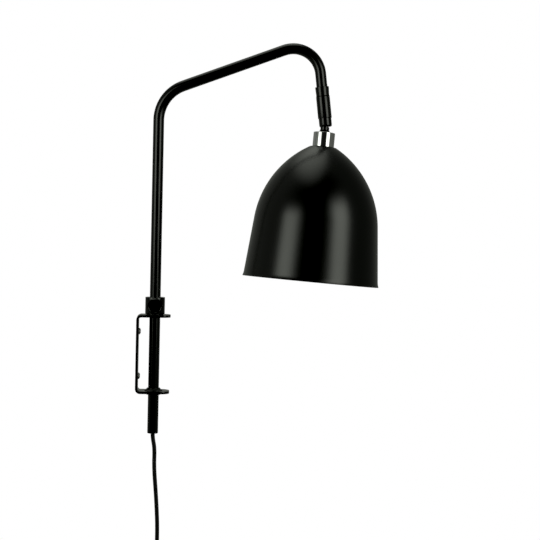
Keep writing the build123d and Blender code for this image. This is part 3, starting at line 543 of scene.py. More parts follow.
# ---- The workshop ----
@dataclass
class Workshop:
    """Holds the finishes, shapes pieces and puts each on its body."""

    materials: dict[Finish, bpy.types.Material]
    made: int = 0

    def fit(self, piece: Piece, body: str, finish: Finish, *nodes: str) -> Piece:
        """Dress a new piece, hang it on its body and let it stand for CAD nodes.

        Args:
            piece: The piece.
            body: The body that it rides on.
            finish: Its finish.
            nodes: The CAD nodes that it replaces.

        Returns:
            The piece.
        """
        piece.data.materials.clear()
        piece.data.materials.append(self.materials[finish])
        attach(piece, body)
        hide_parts(*nodes)
        self.made += 1
        LOG.info("%s rides on %s in %s", piece.name, body, finish.value)
        return piece

    def turn(
        self, name: str, outline: Outline, lathe: Lathe, body: str, finish: Finish, node: str,
        steps: int = ROUND, smooth: float = SMOOTH,
    ) -> Piece:
        """Turn a closed outline about an axis and fit the piece.

        Args:
            name: The piece's name.
            outline: (radius, height) points in millimetres.
            lathe: Where height is 0, and the axis of turning.
            body: The body that it rides on.
            finish: Its finish.
            node: The CAD node that it replaces.
            steps: Facets round the piece.
            smooth: Edges under this many degrees are shaded smooth.

        Returns:
            The piece.
        """
        bpy.ops.object.select_all(action="DESELECT")
        bpy.ops.mesh.primitive_plane_add(size=MM, location=(0.0, 0.0, 0.0))
        piece = bpy.context.object
        piece.name = piece.data.name = name
        opened()
        bpy.ops.mesh.merge(type="CENTER")
        points = [Vector((r * MM, 0.0, h * MM)) for r, h in outline]
        bpy.ops.transform.translate(value=points[0])
        for here, there in zip(points, points[1:] + points[:1]):
            bpy.ops.mesh.extrude_region_move(TRANSFORM_OT_translate={"value": there - here})
        bpy.ops.mesh.select_all(action="SELECT")
        bpy.ops.mesh.spin(steps=steps, angle=math.tau, center=(0.0, 0.0, 0.0), axis=UP)
        closed()
        alone(piece)
        piece.matrix_world = aimed(*lathe)
        bpy.ops.object.transform_apply(location=True, rotation=True, scale=True)
        smoothed(smooth)
        return self.fit(piece, body, finish, node)

    def soften(self, name: str, node: str, bevel: float, body: str, finish: Finish) -> Piece:
        """Copy a CAD node's mesh, join its facets, break its edges and fit it in the node's place.

        Args:
            name: The piece's name.
            node: The CAD node.
            bevel: Width of the broken edges in millimetres.
            body: The body that it rides on.
            finish: Its finish.

        Returns:
            The piece.
        """
        piece = linked(name, bpy.data.objects[node].data.copy())
        piece.matrix_world = bpy.data.objects[node].matrix_world
        piece.data.name = name
        alone(piece)
        opened()
        bpy.ops.mesh.remove_doubles(threshold=CAD_WELD)
        bpy.ops.mesh.dissolve_limited(angle_limit=math.radians(FLAT))
        bpy.ops.object.mode_set(mode="OBJECT")
        broken(piece, bevel)
        return self.fit(piece, body, finish, node)

    def dress(self, node: str, finish: Finish) -> None:
        """Give a CAD node that stays its finish.

        Args:
            node: The node.
            finish: Its finish.
        """
        piece = bpy.data.objects[node]
        for place in piece.material_slots:
            place.material = self.materials[finish]
        LOG.info("%s stays, in %s", node, finish.value)


# ---- Sub-assemblies ----
@dataclass
class Assembly:
    """A group of pieces that is made in the workshop along the lamp's axes."""

    shop: Workshop
    axes: Axes


@dataclass
class WallBracket(Assembly):
    """The bent strip on the wall with its screws and the two bushes."""

    tube: float = 6.55
    bush: float = 8.15
    upper_flange: float = 10.5
    lower_flange: float = 11.0
    nut: float = 9.0
    half: float = 47.5
    strip: float = 3.0

    def build(self) -> None:
        """Build the bracket's pieces."""
        self.shop.soften("bracket_strip", "wall_bracket", 0.35, "bracket", Finish.SATIN_BLACK)
        self.shop.soften("bracket_screws", "wall_screws", 0.15, "bracket", Finish.SCREW_STEEL)
        post = self.axes.on_post(0.0)
        top = self.half
        upper = [
            (self.tube, top - self.strip), (self.bush, top - self.strip), (self.bush, top),
            (self.upper_flange, top), *rounded((self.upper_flange, top + 0.8), 0.3, 0.0),
            (self.tube + 0.3, top + 0.8), (self.tube, top + 0.5),
        ]
        self.shop.turn("upper_tab_liner", upper, (post, UP), "bracket", Finish.BLACK_PLASTIC, "upper_bush")
        low = self.strip - self.half
        lower = [
            (self.tube, -self.half - 1.8), *rounded((self.nut, -self.half - 1.8), 0.5, 270.0),
            (self.nut, -self.half), (self.bush, -self.half), (self.bush, low), (self.lower_flange, low),
            (self.lower_flange, low + 0.45), (10.2, low + 0.85), (9.1, low + 1.5), (8.4, low + 2.3),
            (self.bush, low + 3.0), (self.tube + 0.3, low + 3.0), (self.tube, low + 2.7),
        ]
        self.shop.turn("lower_tab_bush", lower, (post, UP), "bracket", Finish.BLACK_PLASTIC, "lower_bush")


@dataclass
class StopCollar(Assembly):
    """The round collar on the tube with its thumb knob."""

    outer: float = 11.8
    bore: float = 6.55
    low: float = 48.35
    height: float = 20.2
    edge: float = 0.5
    knob: float = 9.5
    knob_low: float = 11.95
    knob_neck: float = 5.5
    knob_neck_length: float = 3.0
    knob_face: float = 21.95
    dish: float = 7.6
    dish_depth: float = 0.5

    def build(self) -> None:
        """Build the collar and the knob."""
        post = self.axes.on_post(self.low)
        ring = [
            (self.bore, 0.3), (self.bore + 0.3, 0.0), *rounded((self.outer, 0.0), self.edge, 270.0),
            *rounded((self.outer, self.height), self.edge, 0.0), (self.bore + 0.3, self.height),
            (self.bore, self.height - 0.3),
        ]
        self.shop.turn("height_collar", ring, (post, UP), "collar", Finish.SATIN_BLACK, "stop_collar", FINE)
        middle = self.axes.on_post(self.low + self.height / 2.0)
        shoulder = self.knob_low + self.knob_neck_length
        head = [
            (0.0, self.knob_low + 1.0), (3.05, self.knob_low + 1.0), (3.05, self.knob_low),
            (self.knob_neck - 0.4, self.knob_low), (self.knob_neck, self.knob_low + 0.4),
            (self.knob_neck, shoulder - 0.5), (self.knob_neck + 0.5, shoulder),
            *rounded((self.knob, shoulder), 0.8, 270.0), (self.knob, self.knob_face - 0.9),
            (self.knob - 0.9, self.knob_face), (self.dish + 0.25, self.knob_face),
            (self.dish - 0.1, self.knob_face - 0.12), (self.dish - 0.5, self.knob_face - self.dish_depth),
            (0.0, self.knob_face - self.dish_depth),
        ]
        screw = (middle, Vector((0.0, -1.0, 0.0)))
        self.shop.turn("thumb_knob", head, screw, "knob", Finish.SATIN_BLACK, "clamp_knob", FINE, 30.0)


@dataclass
class ArmTube(Assembly):
    """The bent tube and the rounded piece in its lower end."""

    radius: float = 6.5
    wall: float = 1.0
    bottom: float = -95.0
    corner: float = 312.4
    run: float = 200.6
    slope: float = 19.9
    lower_bend: float = 43.8
    upper_bend: float = 33.2
    lean: float = 6.85
    yaw: float = -10.0
    bare_tip: float = 22.8
    facets: int = 64

    def build(self) -> None:
        """Bend the tube and turn its end piece."""
        yaw = math.radians(self.yaw)
        out = Vector((math.cos(yaw), math.sin(yaw), 0.0))
        rise, lean = math.radians(self.slope), math.radians(self.lean)
        first_turn = math.pi / 2.0 - rise
        second_turn = rise + math.pi / 2.0 - lean
        first_cut = self.lower_bend * math.tan(first_turn / 2.0)
        second_cut = self.upper_bend * math.tan(second_turn / 2.0)
        along = out * math.cos(rise) + UP * math.sin(rise)
        down = out * math.sin(lean) - UP * math.cos(lean)
        foot = self.axes.on_post(self.bottom)
        bend_one = self.axes.on_post(self.corner - first_cut) + out * self.lower_bend * MM
        corner_two = self.axes.on_post(self.corner) + along * self.run * MM
        under = out * math.sin(rise) - UP * math.cos(rise)
        bend_two = corner_two - along * second_cut * MM + under * self.upper_bend * MM
        pivot = tuple(out.cross(UP))
        bpy.ops.object.select_all(action="DESELECT")
        bpy.ops.mesh.primitive_circle_add(vertices=self.facets, radius=self.radius * MM, location=foot)
        piece = bpy.context.object
        piece.name = piece.data.name = "bent_tube"
        bpy.ops.object.transform_apply(location=True, rotation=True, scale=True)
        opened("EDGE")

        def push(step: Vector, times: int) -> None:
            """Draw the open end along a straight stretch in equal steps."""
            for _ in range(times):
                bpy.ops.mesh.extrude_region_move(TRANSFORM_OT_translate={"value": step / times})

        push(UP * (self.corner - first_cut - self.bottom) * MM, 12)
        bpy.ops.mesh.spin(steps=20, angle=first_turn, center=bend_one, axis=pivot)
        push(along * (self.run - first_cut - second_cut) * MM, 6)
        bpy.ops.mesh.spin(steps=26, angle=second_turn, center=bend_two, axis=pivot)
        push(down * self.bare_tip * MM, 2)
        closed()
        alone(piece)
        shell = piece.modifiers.new("tube_wall", "SOLIDIFY")
        shell.thickness = self.wall * MM
        shell.offset = -1.0
        bpy.ops.object.modifier_apply(modifier=shell.name)
        smoothed()
        self.shop.fit(piece, "arm", Finish.SATIN_BLACK, "arm_tube")
        end = [
            (2.55, -1.1), (2.95, -1.5), (5.5, -1.5), *arc((5.5, -0.5), 1.0, 270.0, 360.0, 6), (6.5, -0.05),
            (5.45, -0.05), (5.45, 8.0), (2.55, 8.0),
        ]
        self.shop.turn("tube_mouth_ring", end, (foot, UP), "arm", Finish.BLACK_PLASTIC, "tube_end_grommet")


@dataclass
class SwivelCoupling(Assembly):
    """The coupling at the arm's tip: fixed ring, turning body and screwed cap."""

    radius: float = 8.15
    edge: float = 0.5
    ring_length: float = 11.4
    bore: float = 4.55
    hollow: float = 6.0
    tube: float = 6.5
    body_start: float = 0.15
    body_end: float = 25.85
    cap: float = 7.5
    cap_end: float = 35.95

    def build(self) -> None:
        """Turn the three rings; heights run down the tip from the seam."""
        lathe = (self.axes.seam, self.axes.tip)
        ring = [
            (self.bore, 0.0), *rounded((self.radius, 0.0), self.edge, 0.0),
            *reversed(rounded((self.radius, -self.ring_length), self.edge, 270.0)),
            (self.tube + 0.05, -self.ring_length), (self.tube + 0.05, -4.35), (self.bore, -4.35),
        ]
        self.shop.turn("coupling_ring", ring, lathe, "arm", Finish.SATIN_BLACK, "joint_ferrule", FINE)
        body = [
            (self.bore, self.body_start), *rounded((self.radius, self.body_start), self.edge, 270.0),
            *rounded((self.radius, self.body_end), 0.3, 0.0), (6.95, self.body_end), (6.95, 19.3),
            (self.hollow, 19.3), (self.hollow, 3.55), (self.bore, 3.55),
        ]
        self.shop.turn("coupling_body", body, lathe, "swivel", Finish.SATIN_BLACK, "joint_body", FINE)
        cap = [
            (5.9, 19.35), (6.9, 19.35), (6.9, 25.9), (7.2, 25.9), (self.cap, 26.2),
            (self.cap, self.cap_end - 2.6), (self.cap - 0.06, self.cap_end - 1.7),
            (self.cap - 0.2, self.cap_end - 1.0), (self.cap - 0.4, self.cap_end - 0.45),
            (self.cap - 0.58, self.cap_end - 0.1), (6.82, self.cap_end), (6.74, self.cap_end - 0.12),
            (6.45, 34.3), (5.25, 34.3), (5.25, 33.9), (5.6, 33.0), (5.83, 31.9), (5.9, 31.25),
        ]
        self.shop.turn("coupling_cap", cap, lathe, "swivel", Finish.SATIN_BLACK, "joint_cap", FINE)


@dataclass
class Head(Assembly):
    """What tilts on the ball: neck, nut, chrome cup, shade and lamp holder."""

    ball: float = 5.8
    bore: float = 2.7
    stem: float = 3.9
    neck: float = 5.2
    thread: float = 4.9
    nut: float = 6.3
    cup: float = 12.75
    cup_low: float = 160.45
    cup_top: float = 177.45
    rim: float = 80.3
    wall: float = 1.0
    cone_height: float = 70.9
    cone_angle: float = 5.4
    dome: float = 115.0
    dome_steps: int = 30
    crown: float = 15.33
    height: float = 160.4
    crown_round: float = 6.0
    flare: float = 0.5
    flare_height: float = 6.0
    hem: float = 0.9
    holder: float = 21.0
    skirt: float = 19.5
    shell: float = 13.3
    hollow: float = 17.5
    pitch: float = 3.6
    wave: float = 0.35
    holder_top: float = 155.3

    @property
    def lathe(self) -> Lathe:
        """Give the middle of the rim and the head's own upward axis."""
        return self.axes.rim, self.axes.head_up

    def dome_middle(self) -> Pair:
        """Find the dome's centre, from the cone's top and the crown's edge."""
        lean = math.tan(math.radians(self.cone_angle))
        top = Vector((self.rim - self.cone_height * lean, self.cone_height))
        edge = Vector((self.crown, self.height))
        chord = edge - top
        inward = Vector((-chord.y, chord.x)).normalized()
        middle = (top + edge) / 2.0 + inward * math.sqrt(self.dome**2 - (chord.length / 2.0) ** 2)
        return (middle.x, middle.y)

    def shell_side(self, inset: float) -> list[Pair]:
        """Give one face of the shade's wall from its rim to the flat crown.

        Args:
            inset: 0 for the outer face, the wall's thickness for the inner one.

        Returns:
            The points.
        """
        cone = math.radians(self.cone_angle)
        centre = self.dome_middle()
        radius = self.dome - inset
        top = self.height - inset
        bend = self.crown_round - inset
        start = math.degrees(math.asin((self.cone_height - centre[1]) / self.dome))
        middle_h = top - bend
        middle_r = centre[0] + math.sqrt((radius - bend) ** 2 - (middle_h - centre[1]) ** 2)
        last = math.degrees(math.atan2(middle_h - centre[1], middle_r - centre[0]))
        base, lean = self.rim - inset / math.cos(cone), math.tan(cone)
        points = []
        for t in (0.0, 0.25, 0.5, 0.75, 1.0):
            r = base + self.flare * (1.0 - t) ** 2 - self.flare_height * t * lean
            points.append((r, self.hem + (self.flare_height - self.hem) * t))
        points += [(base - h * lean, h) for h in (24.0, 44.0, 60.0)]
        points += arc(centre, radius, start, last, self.dome_steps)
        return points + arc((middle_r, middle_h), bend, last, 90.0, 6)[1:]

    def build_shade(self, inside: bpy.types.Material) -> None:
        """Spin the shade, black outside, with another material inside."""
        outer, inner = self.shell_side(0.0), self.shell_side(self.wall)
        hem = (self.rim + self.flare - self.wall / 2.0, self.hem)
        bead = arc(hem, self.hem, 208.0, 332.0, 9)
        hole = [(self.neck, self.height), (self.neck, self.height - self.wall)]
        outline = [*bead, *outer[1:], *hole, *reversed(inner[1:])]
        matt = Finish.MATT_BLACK
        piece = self.shop.turn("bell_shade", outline, self.lathe, "head", matt, "shade", 160, 40.0)
        piece.data.materials.append(inside)
        rim, head_up = self.lathe
        for face in piece.data.polygons:
            up = (face.center - rim).dot(head_up)
            across = face.center - rim - head_up * up
            towards = -face.normal.dot(across.normalized())
            under = -face.normal.dot(head_up)
            face.material_index = int(up > 1.5 * MM and (towards > 0.05 or under > 0.5))

    def build_neck(self) -> None:
        """Turn the ball stud, its flared nut and the chrome cup."""
        low = self.holder_top - 4.0
        nut_low, nut_top = self.cup_top + 0.05, self.cup_top + 3.15
        neck_top = BALL_HEIGHT - 4.9
        sphere = arc((0.0, BALL_HEIGHT), self.ball, -47.0, 42.0, 12)
        stud = [
            (self.bore, low), (self.thread - 0.4, low), (self.thread, low + 0.4), (self.thread, nut_low),
            (self.neck, nut_top), (self.neck, neck_top - 0.5), (self.neck - 0.5, neck_top),
            (self.stem, neck_top), *sphere, (self.bore + 1.5, BALL_HEIGHT + 3.6), (self.bore, BALL_HEIGHT),
        ]
        self.shop.turn("ball_and_neck", stud, self.lathe, "head", Finish.SATIN_BLACK, "ball_stud")
        nut = [
            (self.thread + 0.05, nut_low), (self.nut - 0.2, nut_low), (self.nut, nut_low + 0.2),
            (self.nut, nut_low + 0.85), (self.nut - 0.12, nut_low + 1.2), (5.98, nut_low + 1.8),
            (5.75, nut_low + 2.5), (5.6, nut_top - 0.15), (5.45, nut_top), (5.25, nut_top),
        ]
        self.shop.turn("flared_neck_nut", nut, self.lathe, "head", Finish.SATIN_BLACK, "neck_nut")
        cup = [
            (self.cup - 1.2, self.cup_low), (self.cup - 0.2, self.cup_low), (self.cup, self.cup_low + 0.2),
            *arc((self.cup - 0.6, self.cup_top - 0.6), 0.6, 0.0, 90.0, 6), (self.neck, self.cup_top),
            (self.neck, self.cup_top - 1.2), (self.cup - 1.2, self.cup_top - 1.2),
        ]
        self.shop.turn("polished_cup", cup, self.lathe, "head", Finish.CHROME_PLATE, "chrome_cup", 128)

    def build_holder(self) -> None:
        """Turn the lamp holder's cap, its ribbed skirt and the rolled screw shell."""
        top, plastic, brass = self.holder_top, Finish.HOLDER_PLASTIC, Finish.CONTACT_BRASS
        cap = [
            (4.95, top), *rounded((11.5, top), 0.8, 0.0)[::-1], (14.6, top - 4.3), (17.5, top - 8.5),
            (19.6, top - 11.3), (20.6, top - 12.9), (self.holder, top - 14.5), (self.holder, top - 23.7),
            (self.holder - 0.5, top - 24.2), (self.holder - 0.5, top - 24.7), (self.holder - 0.1, top - 25),
            (19.55, top - 25), (19.55, top - 19.95), (self.hollow, top - 19.95), (self.hollow, top - 14),
            (11.5, top - 3), (4.95, top - 3),
        ]
        self.shop.turn("holder_upper_cap", cap, self.lathe, "head", plastic, "holder_cap", FINE)
        grooves: list[Pair] = []
        for row in range(5):
            high = top - 28.9 - self.pitch * row
            grooves += [(self.skirt, high), (18.9, high - 0.6), (18.9, high - 1.8), (self.skirt, high - 2.4)]
        skirt = [
            (self.hollow, top - 20), (self.skirt, top - 20), *grooves, (self.skirt, top - 55),
            (self.skirt - 1.0, top - 56), (15.0, top - 56), (14.6, top - 55.6), (14.6, top - 54),
            (self.hollow, top - 54),
        ]
        self.shop.turn("holder_lower_skirt", skirt, self.lathe, "head", plastic, "holder_skirt", FINE)
        bore: list[Pair] = []
        back: list[Pair] = []
        for step in range(40):
            up = step * 0.43
            wave = self.wave * (0.5 - 0.5 * math.cos(math.tau * up / self.pitch))
            bore.append((self.shell - wave, top - 49.8 + up))
            back.append((self.shell + 0.4 - wave, top - 49.8 + up))
        shell = [
            *back, (self.shell + 0.5, top - 32.7), (14.5, top - 32.9), (14.5, top - 28.05),
            (14.0, top - 28.05), (14.0, top - 32.5), (self.shell, top - 32.55), *reversed(bore),
        ]
        self.shop.turn("rolled_screw_shell", shell, self.lathe, "head", brass, "thread_shell", 64)


@dataclass
class CordSet(Assembly):
    """The free cord, from the tube's end to the switch and through the coil to the plug."""

    radius: float = 2.5
    supply_length: float = 139.4
    lead_length: float = 1606.6
    supply: tuple[Triple, ...] = (
        (22.0, 0.0, -93.0), (22.0, 0.0, -101.5), (24.9, 0.2, -115.0), (24.4, 0.6, -138.0),
        (27.6, 0.3, -172.0), (29.6, -0.1, -203.0), (29.9, 0.0, -219.0), (29.9, 0.0, -232.0),
    )
    lead: tuple[Triple, ...] = ((29.9, 0.0, -280.0), (29.9, 0.0, -308.0))
    tail: tuple[Triple, ...] = ((12.5, -44.22, -340.87), (12.5, -44.22, -366.86))
    coil_middle: Pair = (0.03, -353.15)
    coil_start: float = 40.0
    coil_x: float = 29.9
    outer: float = 34.6
    turn_pitch: float = 6.5
    layer_pitch: float = 5.8
    half_turns: tuple[int, ...] = (3, 3, 3, 4)
    points_a_half_turn: int = 8
    spline_shrink: float = 0.981
    boot_top: float = 3.6
    boot_bottom: float = 5.2
    boot_length: float = 22.0
    boot_bore: float = 2.55
    rib_depth: float = 0.75

    def stations(self) -> list[Triple]:
        """Give the coil's angle, radius and distance from the wall at each half turn."""
        angle, radius, x, inward = self.coil_start, self.outer, self.coil_x, -1
        found = [(angle, radius, x)]
        for layer, count in enumerate(self.half_turns):
            if layer > 0:
                angle, x, inward = angle + 180.0, x - self.layer_pitch, -inward
                found.append((angle, radius, x))
            for _ in range(count):
                angle, radius = angle + 180.0, radius + inward * self.turn_pitch / 2.0
                found.append((angle, radius, x))
        return found

    def on_coil(self, station: Triple) -> Vector:
        """Give a station's point in millimetres."""
        angle, radius, x = station
        a = math.radians(angle)
        y, z = self.coil_middle
        return Vector((x, y - radius * math.sin(a), z + radius * math.cos(a)))

    def coil(self) -> list[Vector]:
        """Give the control points of the coil's turns, in millimetres."""
        stations = self.stations()
        points = []
        for here, there in zip(stations, stations[1:]):
            start, end = self.on_coil(here), self.on_coil(there)
            a = math.radians(here[0])
            heading = Vector((0.0, -math.cos(a), -math.sin(a)))
            across = (end - start).normalized()
            reach = (end - start).length / 2.0 / self.spline_shrink
            for step in range(self.points_a_half_turn):
                turn = math.pi * step / self.points_a_half_turn
                aside = heading * reach * math.sin(turn) - across * reach * math.cos(turn)
                points.append((start + end) / 2.0 + aside)
        return points + [self.on_coil(stations[-1])]

    def lay(
        self, name: str, route: Sequence[Sequence[float]], length: float, ending: tuple[str, str],
        pieces: list[Piece], nodes: list[str],
    ) -> None:
        """Args:
            name: The cord's name.
            route: The spline's control points in millimetres.
            length: The cord's length in millimetres; not used.
            ending: What is at its far end, and how it lies; not used.
            pieces: The pieces that sit on it; not used.
            nodes: The CAD nodes that it replaces.
        """
        data = bpy.data.curves.new(name, "CURVE")
        data.dimensions = "3D"
        data.bevel_depth = self.radius * MM
        data.bevel_resolution = data.resolution_u = 6
        data.use_fill_caps = True
        spline = data.splines.new("NURBS")
        spline.points.add(len(route) - 1)
        for target, point in zip(spline.points, route):
            target.co = (point[0] * MM, point[1] * MM, point[2] * MM, 1.0)
        spline.order_u = 3
        spline.use_endpoint_u = True
        cord = self.shop.fit(linked(name, data), "arm", Finish.CORD_SHEATH, *nodes)
        tuple(c * MM for c in route[0])

    def boot(self) -> Piece:
        """Turn the ribbed strain relief on the plug."""
        low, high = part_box("plug_boot")
        top = Vector(((low[0] + high[0]) / 2.0, (low[1] + high[1]) / 2.0, high[2]))
        outline = [(0.0, 2.05), (self.boot_bore, 2.05), (self.boot_bore, 0.3), (self.boot_bore + 0.3, 0.0)]
        slope = (self.boot_bottom - self.boot_top) / self.boot_length
        outline += [(self.boot_top - 0.3, 0.0), (self.boot_top, 0.3)]
        for rib in range(7):
            start = 1.6 + 2.7 * rib
            outer = self.boot_top + slope * start
            inner = outer - self.rib_depth
            outline += [(outer, start), (inner, start + 0.3), (inner, start + 1.0)]
            outline.append((outer + slope, start + 1.3))
        outline += [(self.boot_bottom, self.boot_length), (0.0, self.boot_length)]
        return self.shop.turn(
            "ribbed_strain_relief", outline, (top, -UP), "arm", Finish.BLACK_PLASTIC, "plug_boot", 64
        )

    def build(self) -> None:
        """Make the pieces on the cord and lay both lengths through them."""
        plastic, soften = Finish.BLACK_PLASTIC, self.shop.soften
        switch = [
            soften("switch_back_shell", "switch_base", 0.25, "arm", plastic),
            soften("switch_front_shell", "switch_cover", 0.25, "arm", plastic),
            soften("switch_case_screws", "switch_screws", 0.1, "arm", Finish.SCREW_STEEL),
            soften("rocker_key", "switch_rocker", 0.3, "rocker", plastic),
        ]
        plug = [
            soften("coil_strap", "coil_tie", 0.35, "arm", plastic),
            self.boot(),
            soften("flat_plug_body", "plug_body", 0.3, "arm", plastic),
            soften("plug_pin_pair", "plug_pins", 0.15, "arm", Finish.PLUG_METAL),
        ]
        nodes = ["supply_cord"]
        self.lay("cord_to_switch", self.supply, self.supply_length, ("fitting", "hanging"), switch, nodes)
        route = [*self.lead, *self.coil(), *self.tail]
        nodes = ["switch_cord", "cord_coil", "plug_cord"]
        self.lay("cord_to_plug", route, self.lead_length, ("plug", "coiled"), plug, nodes)


# The CAD nodes that stay as they are, by finish.
HIDDEN: dict[Finish, tuple[str, ...]] = {
    Finish.SCREW_STEEL: ("clamp_stud", "pan_nipple", "spacer_sleeve", "crown_nut", "terminal_screws"),
    Finish.CONTACT_BRASS: ("clamp_pad", "ball_cup", "centre_contact", "side_contact"),
    Finish.CORD_SHEATH: ("inner_flex_arm", "inner_flex_head"),
    Finish.SPRING_STEEL: ("disc_spring",),
    Finish.WHITE_CERAMIC: ("contact_base",),
    Finish.CORE_SLEEVE: ("core_wires",),
}


# ---- Camera and studio ----
@dataclass
class Camera:
    """The photograph's viewpoint."""

    azimuth: float = -4.4
    elevation: float = 1.75
    roll: float = 1.285
    distance: float = 1.5638
    lens: float = 85.81
    sensor: float = 36.0
    target: Triple = (0.1602, 0.0, 0.104)

    def build(self) -> None:
        """Place the camera and make it the scene's own."""
        r = math.radians(self.roll)
        back = facing(self.azimuth, self.elevation)
        side = UP.cross(back).normalized()
        top = back.cross(side)
        right = side * math.cos(r) + top * math.sin(r)
        upright = top * math.cos(r) - side * math.sin(r)
        place = Matrix((right, upright, back)).transposed().to_4x4()
        place.translation = Vector(self.target) + back * self.distance
        data = bpy.data.cameras.new("studio_camera")
        data.lens = self.lens
        data.sensor_width = self.sensor
        camera = linked("studio_camera", data)
        camera.matrix_world = place
        bpy.context.scene.camera = camera


@dataclass
class Softbox:
    """A rectangular light with soft edges that shines at a point and isn't seen itself."""

    name: str
    azimuth: float
    elevation: float
    distance: float
    width: float
    height: float
    radiance: float
    soft: float = 0.38

    def build(self, target: Vector) -> None:
        """Hang the light.

        Args:
            target: The point that it faces.
        """
        back = facing(self.azimuth, self.elevation)
        data = bpy.data.lights.new(self.name, "AREA")
        data.shape = "RECTANGLE"
        data.size = self.width
        data.size_y = self.height
        data.energy = self.radiance * math.pi * self.width * self.height
        data.color = LIGHT_TINT
        kit = GlowKit(data)
        spot = kit.add("NewGeometry", {}, "Parametric")
        level: Wire | float = 1.0
        for side in ("X", "Y"):
            along = kit.add("SeparateXYZ", {0: spot}, side)
            level = along.ramp(0.0, self.soft) * (1.0 - along).ramp(0.0, self.soft) * level
        glow = kit.add("Emission", {"Strength": level})
        kit.add("OutputLight", {"Surface": glow}, output=None)
        light = linked(self.name, data)
        light.matrix_world = aimed(target + back * self.distance, back)
        light.visible_camera = False


@dataclass
class Studio:
    """White behind the lamp, a softbox on each side, and a room for the lamp to mirror.

    The room's levels stand at degrees to the right of the camera, seen from the lamp.
    """

    middle: Triple = (0.16, -0.03, 0.12)
    plug_radius: float = 0.0042
    plug_depth: float = 0.0275
    plug_gap: float = 0.0002
    screw_height: float = 0.027
    room: tuple[Pair, ...] = (
        (-180.0, 0.34), (-158.0, 0.24), (-135.0, 0.2), (-80.0, 0.2), (-45.0, 0.05), (-15.0, 0.016),
        (15.0, 0.014), (45.0, 0.05), (80.0, 0.14), (120.0, 0.11), (145.0, 0.15), (162.0, 0.2),
        (180.0, 0.34),
    )
    over: Pair = (-0.15, -0.16)
    over_reach: Pair = (0.38, 0.6)
    over_level: float = 1.36
    room_level: float = 0.84
    black_point: float = 0.004
    boxes: tuple[Softbox, ...] = (
        Softbox("left_softbox", -50.8, 12.0, 1.5, 1.19, 1.12, 2.6),
        Softbox("right_softbox", 41.2, 16.0, 1.5, 1.15, 1.42, 2.9),
    )

    def sky(self) -> None:
        """Paint what the lamp mirrors, levels round the room and a soft patch above, on white."""
        world = bpy.data.worlds.new("studio")
        kit = GlowKit(world)
        a = math.radians(Camera.azimuth)
        right = kit.along(Vector((math.cos(a), math.sin(a), 0.0)))
        near = kit.along(Vector((math.sin(a), -math.cos(a), 0.0)))
        up = kit.along(UP)
        turn = kit.sum("ARCTAN2", right, near)
        share = turn / math.tau + 0.5
        room = kit.table(share, [(0.5 + angle / 360.0, level) for angle, level in self.room])
        side = (right - self.over[0]) / self.over_reach[0]
        front = (near - self.over[1]) / self.over_reach[1]
        above = (1.0 - (side * side + front * front).ramp(0.0, 1.4)) * up.ramp(0.0, 0.4)
        level = (room + above * self.over_level) * self.room_level
        lit = kit.add("Background", {"Color": (*LIGHT_TINT, 1.0), "Strength": level})
        seen = kit.add("Background", {"Color": (1.0, 1.0, 1.0, 1.0)})
        camera_ray = kit.add("LightPath", {}, "Is Camera Ray")
        both = kit.add("MixShader", {0: camera_ray, 1: lit, 2: seen})
        kit.add("OutputWorld", {"Surface": both}, output=None)
        bpy.context.scene.world = world

    def build(self) -> None:
        """Build the surroundings."""
        self.sky()
        for box in self.boxes:
            box.build(Vector(self.middle))
        self.wall_plugs()
        view = bpy.context.scene.view_settings
        view.view_transform = "Standard"
        view.look = "None"
        view.use_curve_mapping = True
        view.curve_mapping.black_level = (self.black_point,) * 3
        view.curve_mapping.update()

    def wall_plugs(self) -> None:
        """Stand in for the wall round the two screws: white from the room's side, clear from behind it."""
        white = bpy.data.materials.new("white_wall")
        kit = GlowKit(white)
        seen_from = kit.add("NewGeometry", {}, "Incoming")
        outwards = kit.measure("DOT_PRODUCT", seen_from, (1.0, 0.0, 0.0))
        room_side = kit.sum("GREATER_THAN", outwards, 0.0)
        clear = kit.add("BsdfTransparent", {})
        glow = kit.add("Emission", {"Strength": WALL_GLOW})
        wall = kit.add("MixShader", {0: room_side, 1: clear, 2: glow})
        kit.add("OutputMaterial", {"Surface": wall}, output=None)
        for height in (-self.screw_height, self.screw_height):
            bpy.ops.object.select_all(action="DESELECT")
            bpy.ops.mesh.primitive_cylinder_add(
                vertices=32,
                radius=self.plug_radius,
                depth=self.plug_depth,
                location=(-self.plug_gap - self.plug_depth / 2.0, 0.0, height),
                rotation=(0.0, math.pi / 2.0, 0.0),
            )
            plug = bpy.context.object
            plug.name = "wall_plug"
            bpy.ops.object.transform_apply(location=True, rotation=True, scale=True)
            broken(plug, 0.6)
            plug.data.materials.append(white)
            plug.visible_diffuse = plug.visible_glossy = plug.visible_shadow = False


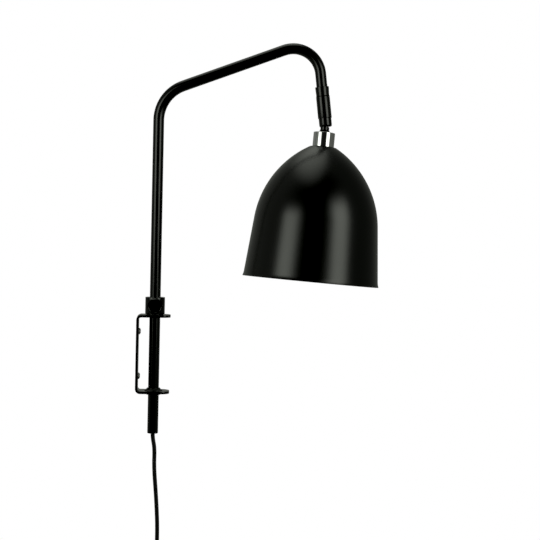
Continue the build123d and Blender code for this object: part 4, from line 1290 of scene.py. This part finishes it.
def finishes(axes: Axes) -> dict[Finish, bpy.types.Material]:
    """Mix every finish of the record.

    Args:
        axes: The lamp's axes.

    Returns:
        A material for each slot.
    """
    across = axes.head_up.cross(Vector((0.0, 1.0, 0.0))).normalized()
    satin, matt = (0.0016, 0.0016, 0.0017), (0.0014, 0.0014, 0.0015)
    surfaces: dict[Finish, Surface] = {
        Finish.SATIN_BLACK: Lacquer(satin, (0.006, 0.0058, 0.0056), 0.2, 0.05, 520.0, 0.00005),
        Finish.MATT_BLACK: SpunLacquer(matt, (0.0028, 0.0028, 0.0029), 0.24, axes.head_up),
        Finish.CHROME_PLATE: Plating((0.86, 0.86, 0.87), (0.7998, 0.7998, 0.8091)),
        Finish.SCREW_STEEL: TurnedMetal((0.8, 0.8, 0.79), (0.58, 0.58, 0.56), 0.42),
        Finish.SPRING_STEEL: TurnedMetal((0.42, 0.42, 0.43), (0.27, 0.26, 0.26), 0.38),
        Finish.CONTACT_BRASS: TurnedMetal((0.78, 0.62, 0.32), (0.55, 0.4, 0.19), 0.3),
        Finish.BLACK_PLASTIC: Moulding((0.003, 0.003, 0.0032), (0.012, 0.012, 0.012), 0.4, 1700.0, 0.00008),
        Finish.HOLDER_PLASTIC: Moulding((0.02, 0.02, 0.02), (0.06, 0.058, 0.055), 0.5, 1300.0, 0.0001),
        Finish.WHITE_CERAMIC: Glaze((0.84, 0.83, 0.79), (0.5, 0.44, 0.36)),
        Finish.CORD_SHEATH: Sheath((0.003, 0.003, 0.0032), (0.01, 0.0097, 0.0094)),
        Finish.CORE_SLEEVE: CorePair((0.04, 0.13, 0.5), (0.16, 0.055, 0.02), axes.rim, across),
        Finish.PLUG_METAL: TurnedMetal((0.72, 0.71, 0.68), (0.55, 0.53, 0.5), 0.22),
    }
    return {finish: surface.material(finish.value) for finish, surface in surfaces.items()}


def main() -> None:
    """Build the lamp's looks in order."""
    logging.basicConfig(level=logging.INFO, format="%(name)s: %(message)s")
    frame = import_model()
    axes = Axes.read(frame)
    Camera().build()
    shop = Workshop(finishes(axes))
    for assembly in (CordSet, WallBracket, StopCollar, ArmTube, SwivelCoupling):
        assembly(shop, axes).build()
    head = Head(shop, axes)
    hot = axes.rim + axes.head_up * HOT_HEIGHT * MM
    inside = BakedWhite((0.82, 0.81, 0.78), (0.72, 0.67, 0.55), hot)
    head.build_shade(inside.material("shade_inside"))
    head.build_neck()
    head.build_holder()
    for finish, nodes in HIDDEN.items():
        for node in nodes:
            shop.dress(node, finish)
    Studio().build()
    LOG.info("%d new pieces", shop.made)


if __name__ == "__main__":
    main()
